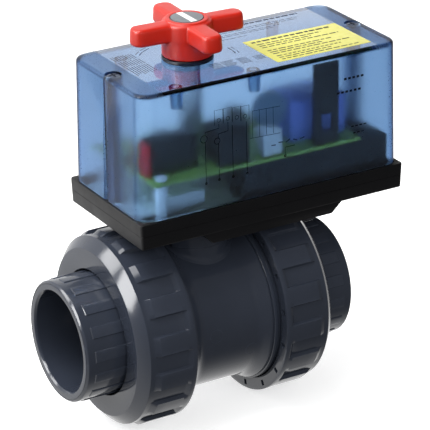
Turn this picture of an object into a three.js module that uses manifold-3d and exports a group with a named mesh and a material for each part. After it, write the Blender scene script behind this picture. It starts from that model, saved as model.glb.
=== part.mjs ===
// Electric quarter-turn actuator on a true-union plastic ball valve (DN 40, 50 mm solvent sockets).
// Millimetres, +Z up. The origin is where the pipe axis (X) meets the stem axis (Z).
// The valve is shown closed: the ball's bore lies along Y, across the pipe.
import * as THREE from 'three';
import { mergeVertices } from 'three/addons/utils/BufferGeometryUtils.js';
import Module from 'manifold-3d';

const wasm = await Module();
wasm.setup();

// ---------- driving dimensions ----------

const gap = 0.3; // clearance between neighbouring pieces
const quarterTurn = Math.PI / 2;
const over = 1; // how far a cutting tool runs past the face it opens
const origin = [0, 0];

// Facets per turn
const coarse = 8;
const small = 12;
const medium = 18;
const large = 32;
const ballFacets = [28, 16];
const ringFacets = 5;
const roundingSteps = 3;
const camSteps = 24;

// Pipe line
const valveHalfLength = 74.5;
const socketRadius = 25.1;
const socketDepth = 31;
const throatRadius = 20;
const barrelRadius = 30.1;
const barrelChamfer = 0.8;

// Union nuts
const nutInnerX = 25;
const nutOuterX = 54.3;
const nutRimRadius = 48.8;
const nutRecessRadius = 47.2;
const nutBoreRadius = 42;
const nutHoleRadius = 31.5;
const nutFaceRadius = 41.9;
const nutBevelX = 49.6;
const nutMouthChamfer = 0.9;
const gripCount = 16;
const gripStartX = 28.5;
const gripEndX = 46;
const gripRunout = 0.4;
const gripDraft = THREE.MathUtils.degToRad(0.6);
const rightNutTurn = -2.2; // degrees about the pipe, where tightening stopped
const leftNutTurn = 5;

// Valve body
const bodyRadius = 38;
const bodyEndX = 39.7;
const flareStartX = 16;
const flareEndX = 18.5;
const flareRise = 3;
const lipGroove = [20, 21];
const lipGrooveRise = 2.2;
const lipStep = 0.2;
const lipRadius = 42;
const lipEndX = 24;
const threadRadius = 41.5;
const threadChamfer = 1;
const cavityRadius = 28.7;
const seatFloorX = 25.2;
const carrierBoreRadius = 33;
const neckRadius = 19.7;
const neckRootZ = 30;
const neckTopZ = 39.5;
const screwPilotBottomZ = 33;
const stemBoreRadius = 9.3;

// End connector flange, held between the nut's shoulder and the body
const flangeRadius = 40;
const flangeThickness = 6;
const ringGrooveInner = 34.2;
const ringGrooveOuter = 37.8;
const ringGrooveDepth = 2.7;
const endRingSection = 1.2;

// Ball, seats and stem
const ballRadius = 28;
const ballBoreRadius = 19.5;
const seatOuterRadius = 28.4;
const seatInnerRadius = 20.3;
const seatFrontX = 15.5;
const seatBackX = 22;
const seatContactRadius = 22;
const seatClearance = 0.4;
const seatRingRadius = 24.5;
const seatRingSection = 1.3;
const seatRingOffset = 1.6;
const carrierChamfer = 2;
const tongueWidth = 8;
const tongueLength = 19;
const tongueBottomZ = 22.4;
const stemRadius = 9;
const stemBottomZ = 28.6;
const stemShoulderZ = 41;
const stemGrooves = [[31, 33.4], [35, 37.4]];
const stemGrooveDepth = 1.9;
const stemRingSection = 0.9;
const stemRingRadius = 8.15;
const stemSquare = 10;
const stemTopZ = 57;

// Mounting adapter and its four screws
const adapterBoreRadius = 12;
const adapterTopZ = 48.9;
const adapterScrewRadius = 16.4;
const adapterScrewHoleRadius = 2.6;
const adapterScrewShankRadius = 2.3;
const adapterScrewBottomZ = 34;
const adapterScrewHeadRadius = 3.8;
const adapterScrewHeadZ = [53.4, 56.4];
const adapterScrewSinkRadius = 4.1;

// Actuator base, a shallow tray with a gearbox bulge under it
const baseCenterX = 26.5;
const baseHalfX = 73.3;
const baseHalfY = 36;
const baseCornerRadius = 3;
const baseBottomZ = 54.3;
const baseTopZ = 67.1;
const baseDraft = 0.5;
const baseWall = 3.2;
const trayFloorZ = 57;
const bulgeBottomZ = 49.2;
const bulgeHalfY = 35.3;
const bulgeTopX = [-14, 66];
const bulgeBottomX = [-8, 59];
const bulgePocketX = [21, 55];
const bulgePocketHalfY = 31;
const bulgeFloor = 2.6;
const screwBossRadius = 4.4;
const hubBoreRadius = 12;

// Gasket between base and cover
const gasketInset = 0.9;
const gasketWidth = 1.3;
const gasketDepth = 0.9;
const gasketProud = 0.1;

// Cable gland under the base
const glandPlace = [86, 23];
const glandHoleRadius = 8.2;
const glandShankRadius = 7.9;
const glandBodyRadius = 11;
const glandNutRadius = 9;
const glandTipRadius = 6.5;
const glandMouthRadius = 4;
const glandBoreRadius = 5;
const glandBottomZ = 36;
const glandNutZ = [39, 45];
const glandBodyZ = [45.5, 54];
const glandTopZ = 62;

// Cover
const coverCenterX = 26.5;
const coverHalfX = 72.5;
const coverHalfY = 35.2;
const coverCornerRadius = 9;
const coverBottomZ = 67.4;
const coverTopZ = 130.2;
const coverDraft = 1;
const coverWall = 2.4;
const coverTopThickness = 2.6;
const coverEdgeRadius = 1.8;
const coverScrewXs = [-40.1, 93.1];
const coverColumnRadius = 4.3;
const coverColumnBottomZ = 68;
const coverScrewHoleRadius = 2.2;
const coverScrewShankRadius = 1.9;
const coverScrewBottomZ = 60;
const coverScrewHeadRadius = 3.7;
const coverScrewHeadHeight = 2.1;
const coverScrewSinkRadius = 4;
const coverScrewSinkDepth = 2.8;
const shaftHoleRadius = 8.3;

// Knob on top of the drive shaft
const knobCollarRadius = 12.7;
const knobSkirtRadius = 12.3;
const knobBottomZ = 132.7;
const knobArmBottomZ = 141.3;
const knobTopZ = 150.7;
const knobReach = 29.8;
const knobArmWidth = 9.8;
const knobTurn = THREE.MathUtils.degToRad(-3);
const knobCornerRise = 3.8;
const knobCornerRun = 3;
const knobCollarTopZ = 132.4;
const indicatorRadius = 7.9;
const indicatorDepth = 1.1;
const indicatorProud = 0.2;

// Drive shaft
const shaftRadius = 6;
const shaftSeatRadius = 7;
const shaftFootRadius = 9.4;
const shaftBottomZ = 50.3;
const shaftFootTopZ = 58.2;
const shaftSeatTopZ = 78;
const shaftTopZ = 146;
const lowerBushZ = [49.5, 57.2];
const upperBushZ = [127.2, 130.3];

// Gear train: output gear on the stem axis, two compound gears, motor pinion, in line along X
const gearModule = 1.5;
const toothBacklash = 0.45;
const toothAddendum = 0.8; // of the module
const toothDedendum = 1.1;
const pressureAngle = THREE.MathUtils.degToRad(20);
const pinionTeeth = 10;
const outputTeeth = 36;
const wheelTwoTeeth = 24;
const wheelOneTeeth = 20;
const pitchRadius = (teeth) => (gearModule * teeth) / 2;
const axleTwoX = pitchRadius(outputTeeth) + pitchRadius(pinionTeeth);
const axleOneX = axleTwoX + pitchRadius(wheelTwoTeeth) + pitchRadius(pinionTeeth);
const motorDistance = pitchRadius(wheelOneTeeth) + pitchRadius(pinionTeeth);
const motorDirection = -quarterTurn / 2;
const motorX = axleOneX + motorDistance * Math.cos(motorDirection);
const motorY = motorDistance * Math.sin(motorDirection);
const outputGearZ = [58.6, 64];
const wheelTwoZ = [65, 69];
const wheelOneZ = [70, 74];
const axleRadius = 2.4;
const gearBoreRadius = 2.7;
const axleTwoBottomZ = 52.1;
const axleOneBottomZ = 57.3;
const axleTopGap = 2.3;
const motorRadius = 11.6;
const motorZ = [57.3, 68.4];
const motorNoseRadius = 4;
const motorNoseTopZ = 69.3;
const motorShaftRadius = 1.5;
const motorShaftTopZ = 75;
const gearboxLeftX = 12.2;
const gearboxRightX = 94;
const gearboxHalfY = 29.8;
const gearboxBottomZ = 64.6;
const gearboxTopZ = 81.7;
const gearboxWall = 1.6;
const gearboxRoof = 2;
const gearboxScrewBayX = 88;
const gearboxScrewBayHalfY = 6;
const gearboxGearBayHalfY = 14;
const gearboxGearBayTopZ = 76;

// Limit switches, read by two cams on the shaft
const closedCamZ = [68, 70.2];
const openCamZ = [71, 73.2];
const camBaseRadius = 9;
const camLiftRadius = 12.9;
const leverPivot = [-24, 13.9];
const leverTipX = 2;
const leverThickness = 0.7;
const leverSwing = THREE.MathUtils.degToRad(8);
const leverTailX = -2;
const leverClearance = 0.1;
const switchX = [-27, -7];
const switchY = [15.4, 25.4];
const switchBottomZ = 67.3;
const switchHeight = 6.4;
const bracketBackX = -43;
const bracketFootX = -30.5;
const bracketFootHalfY = 12;
const bracketFootTopZ = 66;
const bracketShelfX = -13.6;
const bracketShelfHalfY = 22.8;
const bracketShelfZ = [65, 67];
const bracketBayRadius = 5;

// Circuit board
const boardX = [-35.3, 78];
const boardHalfY = 30;
const boardZ = [82, 83.6];
const boardGap = 0.1;
const boardShaftHoleRadius = 9;
const boardScrewHoleRadius = 1.8;
const boardScrewBottomZ = 75;
const boardScrewRadius = 1.4;
const boardScrewHeadRadius = 2.8;
const boardScrewHeadHeight = 1.8;
const standoffX = -30.5;
const standoffY = 26.2;
const standoffRadius = 3;
const standoffHoleRadius = 1.7;
const standoffHoleBottomZ = 74;

// Parts on the board: places in X and Y, heights above the board
const closingRelay = { x: [-32, -7], y: [-21, -9], height: 17 };
const openingRelay = { x: [0, 17], y: [-28, -12], height: 19 };
const filterCapacitor = { x: [-35, -32.3], y: [-21, -10], height: 16 };
const terminalBlock = { x: [24.5, 35], y: [-28, -19], height: 13 };
const supplyTransformer = { x: [44.6, 76], y: [-20, 6], height: 21 };
const terminalStrip = { x: [53.2, 66.6], y: [-28.2, -26], height: 41 };
const stripSlot = { x: [57, 63.4], fromBoard: [6, 15] };
const varistorRadius = 9.2;
const varistorHalfThickness = 1.8;
const varistorPlace = [34.4, -16.6];
const varistorRise = 19.3;
const varistorLegHalfWidth = 1;
const varistorLegHeight = 12;

// ---------- materials ----------

function material(color, roughness, metalness = 0) {
  return () => new THREE.MeshStandardMaterial({ color, roughness, metalness });
}

const greyPvc = material(0x3c414b, 0.35);
const blackPlastic = material(0x1b1b1d, 0.5);
const blackRubber = material(0x151515, 0.85);
const whiteFluoropolymer = material(0xe8e8e4, 0.45);
const redPlastic = material(0xc8281c, 0.4);
const greyPlastic = material(0x8d9094, 0.5);
const boardGreen = material(0x2f7a34, 0.45);
const steel = material(0xb8babd, 0.35, 0.9);
const gearPlastic = material(0xd9d4c4, 0.5);
const bluePlastic = material(0x2f4fc4, 0.4);
const whitePlastic = material(0xe6e8ea, 0.45);
const discGreen = material(0x6f8f8c, 0.6);

function translucentBlue() {
  return new THREE.MeshStandardMaterial({
    color: 0x4f7fc8,
    roughness: 0.35,
    metalness: 0,
    transparent: true,
    opacity: 0.45,
  });
}

// ---------- solid modelling helpers ----------

// Returns the geometry as a closed manifold solid with its faces pointing out.
function toSolid(geometry) {
  const bare = geometry.clone();
  bare.deleteAttribute('normal');
  bare.deleteAttribute('uv');
  const merged = mergeVertices(bare, 1e-4);
  const vertices = new Float32Array(merged.attributes.position.array);
  const kept = [];
  for (let i = 0; i < merged.index.count; i += 3) {
    const [a, b, c] = [0, 1, 2].map((k) => merged.index.getX(i + k));
    if (a !== b && b !== c && a !== c) kept.push([a, b, c]);
  }
  const outward = signedVolume(vertices, kept) > 0;
  const triangles = new Uint32Array(kept.flatMap(([a, b, c]) => (outward ? [a, b, c] : [a, c, b])));
  const mesh = new wasm.Mesh({ numProp: 3, vertProperties: vertices, triVerts: triangles });
  return new wasm.Manifold(mesh);
}

function signedVolume(vertices, triangles) {
  const [p, q, r] = [new THREE.Vector3(), new THREE.Vector3(), new THREE.Vector3()];
  let volume = 0;
  for (const [a, b, c] of triangles) {
    p.fromArray(vertices, 3 * a);
    q.fromArray(vertices, 3 * b);
    r.fromArray(vertices, 3 * c);
    volume += p.dot(q.cross(r)) / 6;
  }
  return volume;
}

function toGeometry(solid) {
  const mesh = solid.getMesh();
  const geometry = new THREE.BufferGeometry();
  geometry.setAttribute('position', new THREE.BufferAttribute(mesh.vertProperties, 3));
  geometry.setIndex(new THREE.BufferAttribute(mesh.triVerts, 1));
  geometry.computeVertexNormals();
  return geometry;
}

const join = (first, ...others) => others.reduce((sum, piece) => sum.add(piece), first);
const cut = (first, ...tools) => tools.reduce((rest, tool) => rest.subtract(tool), first);

// Turns a closed profile of [x, radius] points about the X axis.
function turnedAboutX(profile, segments) {
  const points = [...profile, profile[0]].map(([x, radius]) => new THREE.Vector2(radius, x));
  return toSolid(new THREE.LatheGeometry(points, segments).rotateZ(-quarterTurn));
}

// Turns a closed profile of [radius, z] points about the Z axis.
function turnedAboutZ(profile, segments) {
  const points = [...profile, profile[0]].map(([radius, z]) => new THREE.Vector2(radius, z));
  return toSolid(new THREE.LatheGeometry(points, segments).rotateX(quarterTurn));
}

function pillar(radius, bottom, top, [x, y] = [0, 0], segments = coarse) {
  const geometry = new THREE.CylinderGeometry(radius, radius, top - bottom, segments);
  return toSolid(geometry.rotateX(quarterTurn).translate(x, y, (bottom + top) / 2));
}

function tube(outer, inner, bottom, top, [x, y] = [0, 0], segments = medium) {
  const profile = [[inner, bottom], [outer, bottom], [outer, top], [inner, top]];
  return turnedAboutZ(profile, segments).translate([x, y, 0]);
}

function block([x0, x1], [y0, y1], [z0, z1]) {
  const geometry = new THREE.BoxGeometry(x1 - x0, y1 - y0, z1 - z0);
  return toSolid(geometry.translate((x0 + x1) / 2, (y0 + y1) / 2, (z0 + z1) / 2));
}

// Extrudes an outline of [x, y] points from bottom to top.
function prism(outline, bottom, top) {
  const shape = new THREE.Shape(outline.map(([x, y]) => new THREE.Vector2(x, y)));
  const geometry = new THREE.ExtrudeGeometry(shape, { depth: top - bottom, bevelEnabled: false });
  return toSolid(geometry.translate(0, 0, bottom));
}

function roundedRectangle(halfX, halfY, radius) {
  const shape = new THREE.Shape();
  shape.moveTo(halfX, radius - halfY);
  shape.lineTo(halfX, halfY - radius);
  shape.absarc(halfX - radius, halfY - radius, radius, 0, quarterTurn);
  shape.lineTo(radius - halfX, halfY);
  shape.absarc(radius - halfX, halfY - radius, radius, quarterTurn, 2 * quarterTurn);
  shape.lineTo(-halfX, radius - halfY);
  shape.absarc(radius - halfX, radius - halfY, radius, 2 * quarterTurn, 3 * quarterTurn);
  shape.lineTo(halfX - radius, -halfY);
  shape.absarc(halfX - radius, radius - halfY, radius, 3 * quarterTurn, 4 * quarterTurn);
  return shape;
}

// A rounded box whose sides follow levels of [z, inset], from the bottom up.
function draftedBox(centerX, halfX, halfY, radius, levels, curveSegments = 4) {
  const shape = roundedRectangle(halfX, halfY, radius);
  const steps = levels.length - 1;
  const options = { depth: steps, steps, bevelEnabled: false, curveSegments };
  const geometry = new THREE.ExtrudeGeometry(shape, options);
  const position = geometry.attributes.position;
  for (let i = 0; i < position.count; i += 1) {
    const [z, inset] = levels[Math.round(position.getZ(i))];
    const x = position.getX(i) * (1 - inset / halfX);
    const y = position.getY(i) * (1 - inset / halfY);
    position.setXYZ(i, centerX + x, y, z);
  }
  return toSolid(geometry);
}

function ring(centerRadius, sectionRadius, segments) {
  return toSolid(new THREE.TorusGeometry(centerRadius, sectionRadius, ringFacets, segments));
}

// A screw on the Z axis: a plain shank of [radius, bottom, top] under a round head.
function screw([shankRadius, bottom, seat], headRadius, top) {
  const shank = [[0, bottom], [shankRadius, bottom], [shankRadius, seat]];
  return turnedAboutZ([...shank, [headRadius, seat], [headRadius, top], [0, top]], coarse);
}

const assembly = new THREE.Group();

function place(name, makeMaterial, solid, parent = assembly) {
  const mesh = new THREE.Mesh(toGeometry(solid), makeMaterial());
  mesh.name = name;
  parent.add(mesh);
  return mesh;
}

// ---------- valve ----------

// Half of the outer outline of the body, from the middle to the +X end.
function bodyOutline() {
  const [grooveStartX, grooveEndX] = lipGroove;
  return [
    [flareStartX, bodyRadius],
    [flareEndX, bodyRadius + flareRise],
    [grooveStartX, bodyRadius + flareRise],
    [grooveStartX + lipStep, bodyRadius + lipGrooveRise],
    [grooveEndX - lipStep, bodyRadius + lipGrooveRise],
    [grooveEndX, lipRadius],
    [lipEndX, lipRadius],
    [lipEndX + lipStep, threadRadius],
    [bodyEndX - threadChamfer, threadRadius],
    [bodyEndX, threadRadius - threadChamfer],
  ];
}

function valveBody() {
  const right = bodyOutline();
  const left = right.map(([x, radius]) => [-x, radius]).reverse();
  const inside = [
    [bodyEndX, carrierBoreRadius],
    [seatFloorX, carrierBoreRadius],
    [seatFloorX, cavityRadius],
    [-seatFloorX, cavityRadius],
    [-seatFloorX, throatRadius],
    [-bodyEndX, throatRadius],
  ];
  const shell = turnedAboutX([...left, ...right, ...inside], large);
  const neck = pillar(neckRadius, neckRootZ, neckTopZ, origin, large);
  const screwHole = (at) => pillar(adapterScrewHoleRadius, screwPilotBottomZ, neckTopZ + over, at);
  const stemBore = pillar(stemBoreRadius, throatRadius, neckTopZ + over, origin, medium);
  return cut(join(shell, neck), stemBore, ...adapterScrewPlaces().map(screwHole));
}

// Moves the grip points of a turned nut between the pads down to the recess, with drafted sides.
// Each pad takes four columns: foot, crest, crest, foot.
function shapeGrip(geometry, pointCount, gripPoints) {
  const pitch = (2 * Math.PI) / gripCount;
  const offsets = [0, gripDraft, pitch / 2 - gripDraft, pitch / 2];
  const position = geometry.attributes.position;
  for (let i = 0; i < position.count; i += 1) {
    const column = Math.floor(i / pointCount);
    const atFoot = column % 4 === 0 || column % 4 === 3;
    const angle = Math.floor(column / 4) * pitch + offsets[column % 4];
    const turned = Math.hypot(position.getX(i), position.getZ(i));
    const radius = atFoot && gripPoints.includes(i % pointCount) ? nutRecessRadius : turned;
    position.setXYZ(i, radius * Math.sin(angle), position.getY(i), radius * Math.cos(angle));
  }
}

// The nut for the +X side, turned about the pipe by some degrees; the left nut is the same, turned round.
function unionNut(turn) {
  const shoulderX = bodyEndX + gap + flangeThickness + gap;
  const profile = [
    [nutInnerX, nutBoreRadius + nutMouthChamfer],
    [nutInnerX, nutRimRadius],
    [gripStartX, nutRimRadius],
    [gripStartX + gripRunout, nutRimRadius],
    [gripEndX, nutRimRadius],
    [gripEndX + gripRunout, nutRecessRadius],
    [nutBevelX, nutRecessRadius],
    [nutOuterX, nutFaceRadius],
    [nutOuterX, nutHoleRadius],
    [shoulderX, nutHoleRadius],
    [shoulderX, nutBoreRadius],
    [nutInnerX + nutMouthChamfer, nutBoreRadius],
  ];
  const points = [...profile, profile[0]].map(([x, radius]) => new THREE.Vector2(radius, x));
  const geometry = new THREE.LatheGeometry(points, 4 * gripCount);
  const gripPoints = [3, 4];
  shapeGrip(geometry, points.length, gripPoints);
  return toSolid(geometry.rotateZ(-quarterTurn)).rotate([turn, 0, 0]);
}

function endConnector() {
  const faceX = bodyEndX + gap;
  const bottomX = valveHalfLength - socketDepth;
  const profile = [
    [faceX, throatRadius],
    [faceX, ringGrooveInner],
    [faceX + ringGrooveDepth, ringGrooveInner],
    [faceX + ringGrooveDepth, ringGrooveOuter],
    [faceX, ringGrooveOuter],
    [faceX, flangeRadius],
    [faceX + flangeThickness, flangeRadius],
    [faceX + flangeThickness, barrelRadius],
    [valveHalfLength - barrelChamfer, barrelRadius],
    [valveHalfLength, barrelRadius - barrelChamfer],
    [valveHalfLength, socketRadius + barrelChamfer],
    [valveHalfLength - barrelChamfer, socketRadius],
    [bottomX, socketRadius],
    [bottomX, throatRadius],
  ];
  return turnedAboutX(profile, large);
}

function endRing() {
  const center = (ringGrooveInner + ringGrooveOuter) / 2;
  const x = bodyEndX + gap + ringGrooveDepth / 2;
  return ring(center, endRingSection, medium).rotate([0, 90, 0]).translate([x, 0, 0]);
}

function ballSeat() {
  const clear = ballRadius + seatClearance;
  const onBall = (radius) => [Math.sqrt(clear ** 2 - radius ** 2), radius];
  const profile = [
    onBall(seatInnerRadius),
    onBall(seatContactRadius),
    [seatFrontX, Math.sqrt(clear ** 2 - seatFrontX ** 2)],
    [seatFrontX, seatOuterRadius],
    [seatBackX, seatOuterRadius],
    [seatBackX, seatInnerRadius],
  ];
  return turnedAboutX(profile, medium);
}

function seatRing() {
  const flat = ring(seatRingRadius, seatRingSection, medium);
  return flat.rotate([0, 90, 0]).translate([seatBackX + seatRingOffset, 0, 0]);
}

function seatCarrier() {
  const startX = seatFloorX + gap;
  const profile = [
    [startX, throatRadius],
    [startX, carrierBoreRadius - gap],
    [bodyEndX - gap, carrierBoreRadius - gap],
    [bodyEndX - gap, throatRadius + carrierChamfer],
    [bodyEndX - carrierChamfer, throatRadius],
  ];
  return turnedAboutX(profile, medium);
}

function ball() {
  const sphere = toSolid(new THREE.SphereGeometry(ballRadius, ...ballFacets).rotateX(quarterTurn));
  const reach = ballRadius + over;
  const bore = pillar(ballBoreRadius, -reach, reach, origin, medium).rotate([90, 0, 0]);
  const halfWidth = tongueWidth / 2 + gap;
  const halfLength = tongueLength / 2 + gap;
  const slot = block([-halfWidth, halfWidth], [-halfLength, halfLength], [tongueBottomZ - gap, reach]);
  return cut(sphere, bore, slot);
}

function valveStem() {
  const halfWidth = tongueWidth / 2;
  const halfLength = Math.sqrt(stemRadius ** 2 - halfWidth ** 2);
  const halfSquare = stemSquare / 2;
  const tongueTopZ = stemBottomZ + gap;
  const tongue = block([-halfWidth, halfWidth], [-halfLength, halfLength], [tongueBottomZ, tongueTopZ]);
  const grooveRadius = stemRadius - stemGrooveDepth;
  const grooves = stemGrooves.flatMap(([bottom, top]) => [
    [stemRadius, bottom],
    [grooveRadius, bottom],
    [grooveRadius, top],
    [stemRadius, top],
  ]);
  const foot = [[0, stemBottomZ], [stemRadius, stemBottomZ]];
  const shoulder = [[stemRadius, stemShoulderZ], [0, stemShoulderZ]];
  const barrel = turnedAboutZ([...foot, ...grooves, ...shoulder], medium);
  const squareZ = [stemShoulderZ - over, stemTopZ];
  return join(barrel, tongue, block([-halfSquare, halfSquare], [-halfSquare, halfSquare], squareZ));
}

function stemRing([bottom, top]) {
  return ring(stemRingRadius, stemRingSection, small).translate([0, 0, (bottom + top) / 2]);
}

function adapterScrewPlaces() {
  return [0, 1, 2, 3].map((index) => {
    const angle = quarterTurn * (index + 0.5);
    return [adapterScrewRadius * Math.cos(angle), adapterScrewRadius * Math.sin(angle)];
  });
}

// Room for the raised lips of the body beside the neck.
function lipClearance() {
  const clear = lipRadius + gap;
  const [startX, endX] = [flareStartX + over, lipEndX + over];
  return turnedAboutX([[startX, neckRootZ], [startX, clear], [endX, clear], [endX, neckRootZ]], large);
}

function mountingAdapter() {
  const collar = tube(neckRadius, adapterBoreRadius, neckTopZ + gap, adapterTopZ, origin, large);
  const screwHole = (at) => pillar(adapterScrewHoleRadius, neckTopZ - over, adapterTopZ + over, at);
  const holes = adapterScrewPlaces().map(screwHole);
  return cut(collar, ...holes, ...[0, 180].map((turn) => lipClearance().rotate([0, 0, turn])));
}

function adapterScrew([x, y]) {
  const shank = [adapterScrewShankRadius, adapterScrewBottomZ, adapterScrewHeadZ[0]];
  return screw(shank, adapterScrewHeadRadius, adapterScrewHeadZ[1]).translate([x, y, 0]);
}

function addValve() {
  place('valve_body', greyPvc, valveBody());
  place('ball', greyPvc, ball());
  place('valve_stem', greyPvc, valveStem());
  place('lower_stem_oring', blackRubber, stemRing(stemGrooves[0]));
  place('upper_stem_oring', blackRubber, stemRing(stemGrooves[1]));
  place('seat_carrier', greyPvc, seatCarrier());
  for (const [side, turn] of [['right', 0], ['left', 180]]) {
    const nutTurn = side === 'right' ? rightNutTurn : leftNutTurn;
    place(`${side}_union_nut`, greyPvc, unionNut(nutTurn).rotate([0, 0, turn]));
    place(`${side}_end_connector`, greyPvc, endConnector().rotate([0, 0, turn]));
    place(`${side}_end_oring`, blackRubber, endRing().rotate([0, 0, turn]));
    place(`${side}_ball_seat`, whiteFluoropolymer, ballSeat().rotate([0, 0, turn]));
    place(`${side}_seat_oring`, blackRubber, seatRing().rotate([0, 0, turn]));
  }
  place('mounting_adapter', greyPvc, mountingAdapter());
  adapterScrewPlaces().forEach((at, index) => {
    place(`adapter_screw_${index + 1}`, steel, adapterScrew(at));
  });
}

// ---------- actuator case ----------

function baseBulge() {
  const top = baseBottomZ + over;
  const outline = [
    [bulgeTopX[0], top],
    [bulgeBottomX[0], bulgeBottomZ],
    [bulgeBottomX[1], bulgeBottomZ],
    [bulgeTopX[1], top],
  ];
  return prism(outline, -bulgeHalfY, bulgeHalfY).rotate([90, 0, 0]);
}

function gasketLoop(extra, bottom, top) {
  const inset = gasketInset - extra;
  const inner = gasketInset + gasketWidth + extra;
  const outerLevels = [[bottom, inset], [top, inset]];
  const innerLevels = [[bottom - over, inner], [top + over, inner]];
  const sizes = [baseCenterX, baseHalfX, baseHalfY, baseCornerRadius];
  return cut(draftedBox(...sizes, outerLevels, 2), draftedBox(...sizes, innerLevels, 2));
}

function actuatorBase() {
  const sizes = [baseCenterX, baseHalfX, baseHalfY, baseCornerRadius];
  const tray = draftedBox(...sizes, [[baseBottomZ, baseDraft], [baseTopZ, 0]], 2);
  const inside = draftedBox(...sizes, [[trayFloorZ, baseWall], [baseTopZ + over, baseWall]], 2);
  const hub = pillar(neckRadius, bulgeBottomZ, trayFloorZ - over, origin, large);
  const pocketZ = [bulgeBottomZ + bulgeFloor, trayFloorZ + over];
  const pocket = block(bulgePocketX, [-bulgePocketHalfY, bulgePocketHalfY], pocketZ);
  const boss = (x) => pillar(screwBossRadius, trayFloorZ - over, baseTopZ, [x, 0], small);
  const [bottom, top] = [bulgeBottomZ - over, baseTopZ + over];
  const sinkBottomZ = adapterScrewHeadZ[0] - gap;
  const holes = [
    pillar(hubBoreRadius, bottom, top, origin, medium),
    pillar(glandHoleRadius, baseBottomZ - over, trayFloorZ + over, glandPlace, small),
    ...coverScrewXs.map((x) => pillar(coverScrewHoleRadius, coverScrewBottomZ - over, top, [x, 0])),
    ...adapterScrewPlaces().map((at) => pillar(adapterScrewHoleRadius, bottom, top, at)),
    ...adapterScrewPlaces().map((at) => pillar(adapterScrewSinkRadius, sinkBottomZ, top, at)),
  ];
  const shell = cut(join(tray, baseBulge(), hub), inside, pocket);
  const gasketGroove = gasketLoop(gap / 2, baseTopZ - gasketDepth - gap, top);
  return cut(join(shell, ...coverScrewXs.map(boss)), ...holes, gasketGroove);
}

function coverLevels(inset, bottom, top, edge) {
  const lean = (z) => (coverDraft * (z - coverBottomZ)) / (coverTopZ - coverBottomZ);
  const levels = [[bottom, inset + lean(bottom)]];
  for (let step = 0; step <= roundingSteps; step += 1) {
    const angle = (quarterTurn * step) / roundingSteps;
    const z = top - edge + edge * Math.sin(angle);
    levels.push([z, inset + lean(z) + edge * (1 - Math.cos(angle))]);
  }
  return levels;
}

function cover() {
  const sizes = [coverCenterX, coverHalfX, coverHalfY, coverCornerRadius];
  const outer = draftedBox(...sizes, coverLevels(0, coverBottomZ, coverTopZ, coverEdgeRadius));
  const roofZ = coverTopZ - coverTopThickness;
  const innerEdge = coverEdgeRadius / 2;
  const inner = draftedBox(...sizes, coverLevels(coverWall, coverBottomZ - over, roofZ, innerEdge));
  const column = (x) => pillar(coverColumnRadius, coverColumnBottomZ, roofZ + over, [x, 0], small);
  const top = coverTopZ + over;
  const sinkZ = coverTopZ - coverScrewSinkDepth;
  const holes = [
    pillar(shaftHoleRadius, roofZ - over, top, origin, medium),
    ...coverScrewXs.map((x) => pillar(coverScrewHoleRadius, coverBottomZ, top, [x, 0])),
    ...coverScrewXs.map((x) => pillar(coverScrewSinkRadius, sinkZ, top, [x, 0], small)),
  ];
  return cut(join(cut(outer, inner), ...coverScrewXs.map(column)), ...holes);
}

function coverScrew(x) {
  const seatZ = coverTopZ - coverScrewSinkDepth + gap;
  const shank = [coverScrewShankRadius, coverScrewBottomZ, seatZ];
  return screw(shank, coverScrewHeadRadius, seatZ + coverScrewHeadHeight).translate([x, 0, 0]);
}

function cableGland() {
  const profile = [
    [glandMouthRadius, glandBottomZ],
    [glandTipRadius, glandBottomZ],
    [glandNutRadius, glandNutZ[0]],
    [glandNutRadius, glandNutZ[1]],
    [glandBodyRadius, glandBodyZ[0]],
    [glandBodyRadius, glandBodyZ[1]],
    [glandShankRadius, glandBodyZ[1]],
    [glandShankRadius, glandTopZ],
    [glandBoreRadius, glandTopZ],
    [glandBoreRadius, glandNutZ[1] + over],
    [glandMouthRadius, glandNutZ[1] - over],
  ];
  return turnedAboutZ(profile, coarse).translate([...glandPlace, 0]);
}

function addCase() {
  place('actuator_base', blackPlastic, actuatorBase());
  place('cover_gasket', blackRubber, gasketLoop(0, baseTopZ - gasketDepth, baseTopZ + gasketProud));
  place('cover', translucentBlue, cover());
  place('left_cover_screw', steel, coverScrew(coverScrewXs[0]));
  place('right_cover_screw', steel, coverScrew(coverScrewXs[1]));
  place('cable_gland', blackPlastic, cableGland());
}

// ---------- knob and drive shaft ----------

// Outline of the four-armed knob, with round arm ends and concave corners.
function knobOutline() {
  const half = knobArmWidth / 2;
  const corner = half + knobCornerRise;
  const points = [];
  for (let arm = 0; arm < 4; arm += 1) {
    const turn = knobTurn + arm * quarterTurn;
    const spot = (along, across) => [
      along * Math.cos(turn) - across * Math.sin(turn),
      along * Math.sin(turn) + across * Math.cos(turn),
    ];
    points.push(spot(corner, -corner), spot(corner + knobCornerRun, -half));
    for (let step = -roundingSteps; step <= roundingSteps; step += 1) {
      const angle = (step / roundingSteps) * quarterTurn;
      points.push(spot(knobReach - half + half * Math.cos(angle), half * Math.sin(angle)));
    }
    points.push(spot(corner + knobCornerRun, half));
  }
  return points;
}

function handKnob() {
  const skirt = pillar(knobSkirtRadius, knobBottomZ, knobArmBottomZ + over, origin, medium);
  const arms = prism(knobOutline(), knobArmBottomZ, knobTopZ);
  const socket = pillar(shaftRadius + gap, knobBottomZ - over, shaftTopZ + gap, origin, medium);
  const recessZ = knobTopZ - indicatorDepth - gap;
  const recess = pillar(indicatorRadius + gap, recessZ, knobTopZ + over, origin, medium);
  return cut(join(skirt, arms), socket, recess);
}

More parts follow.
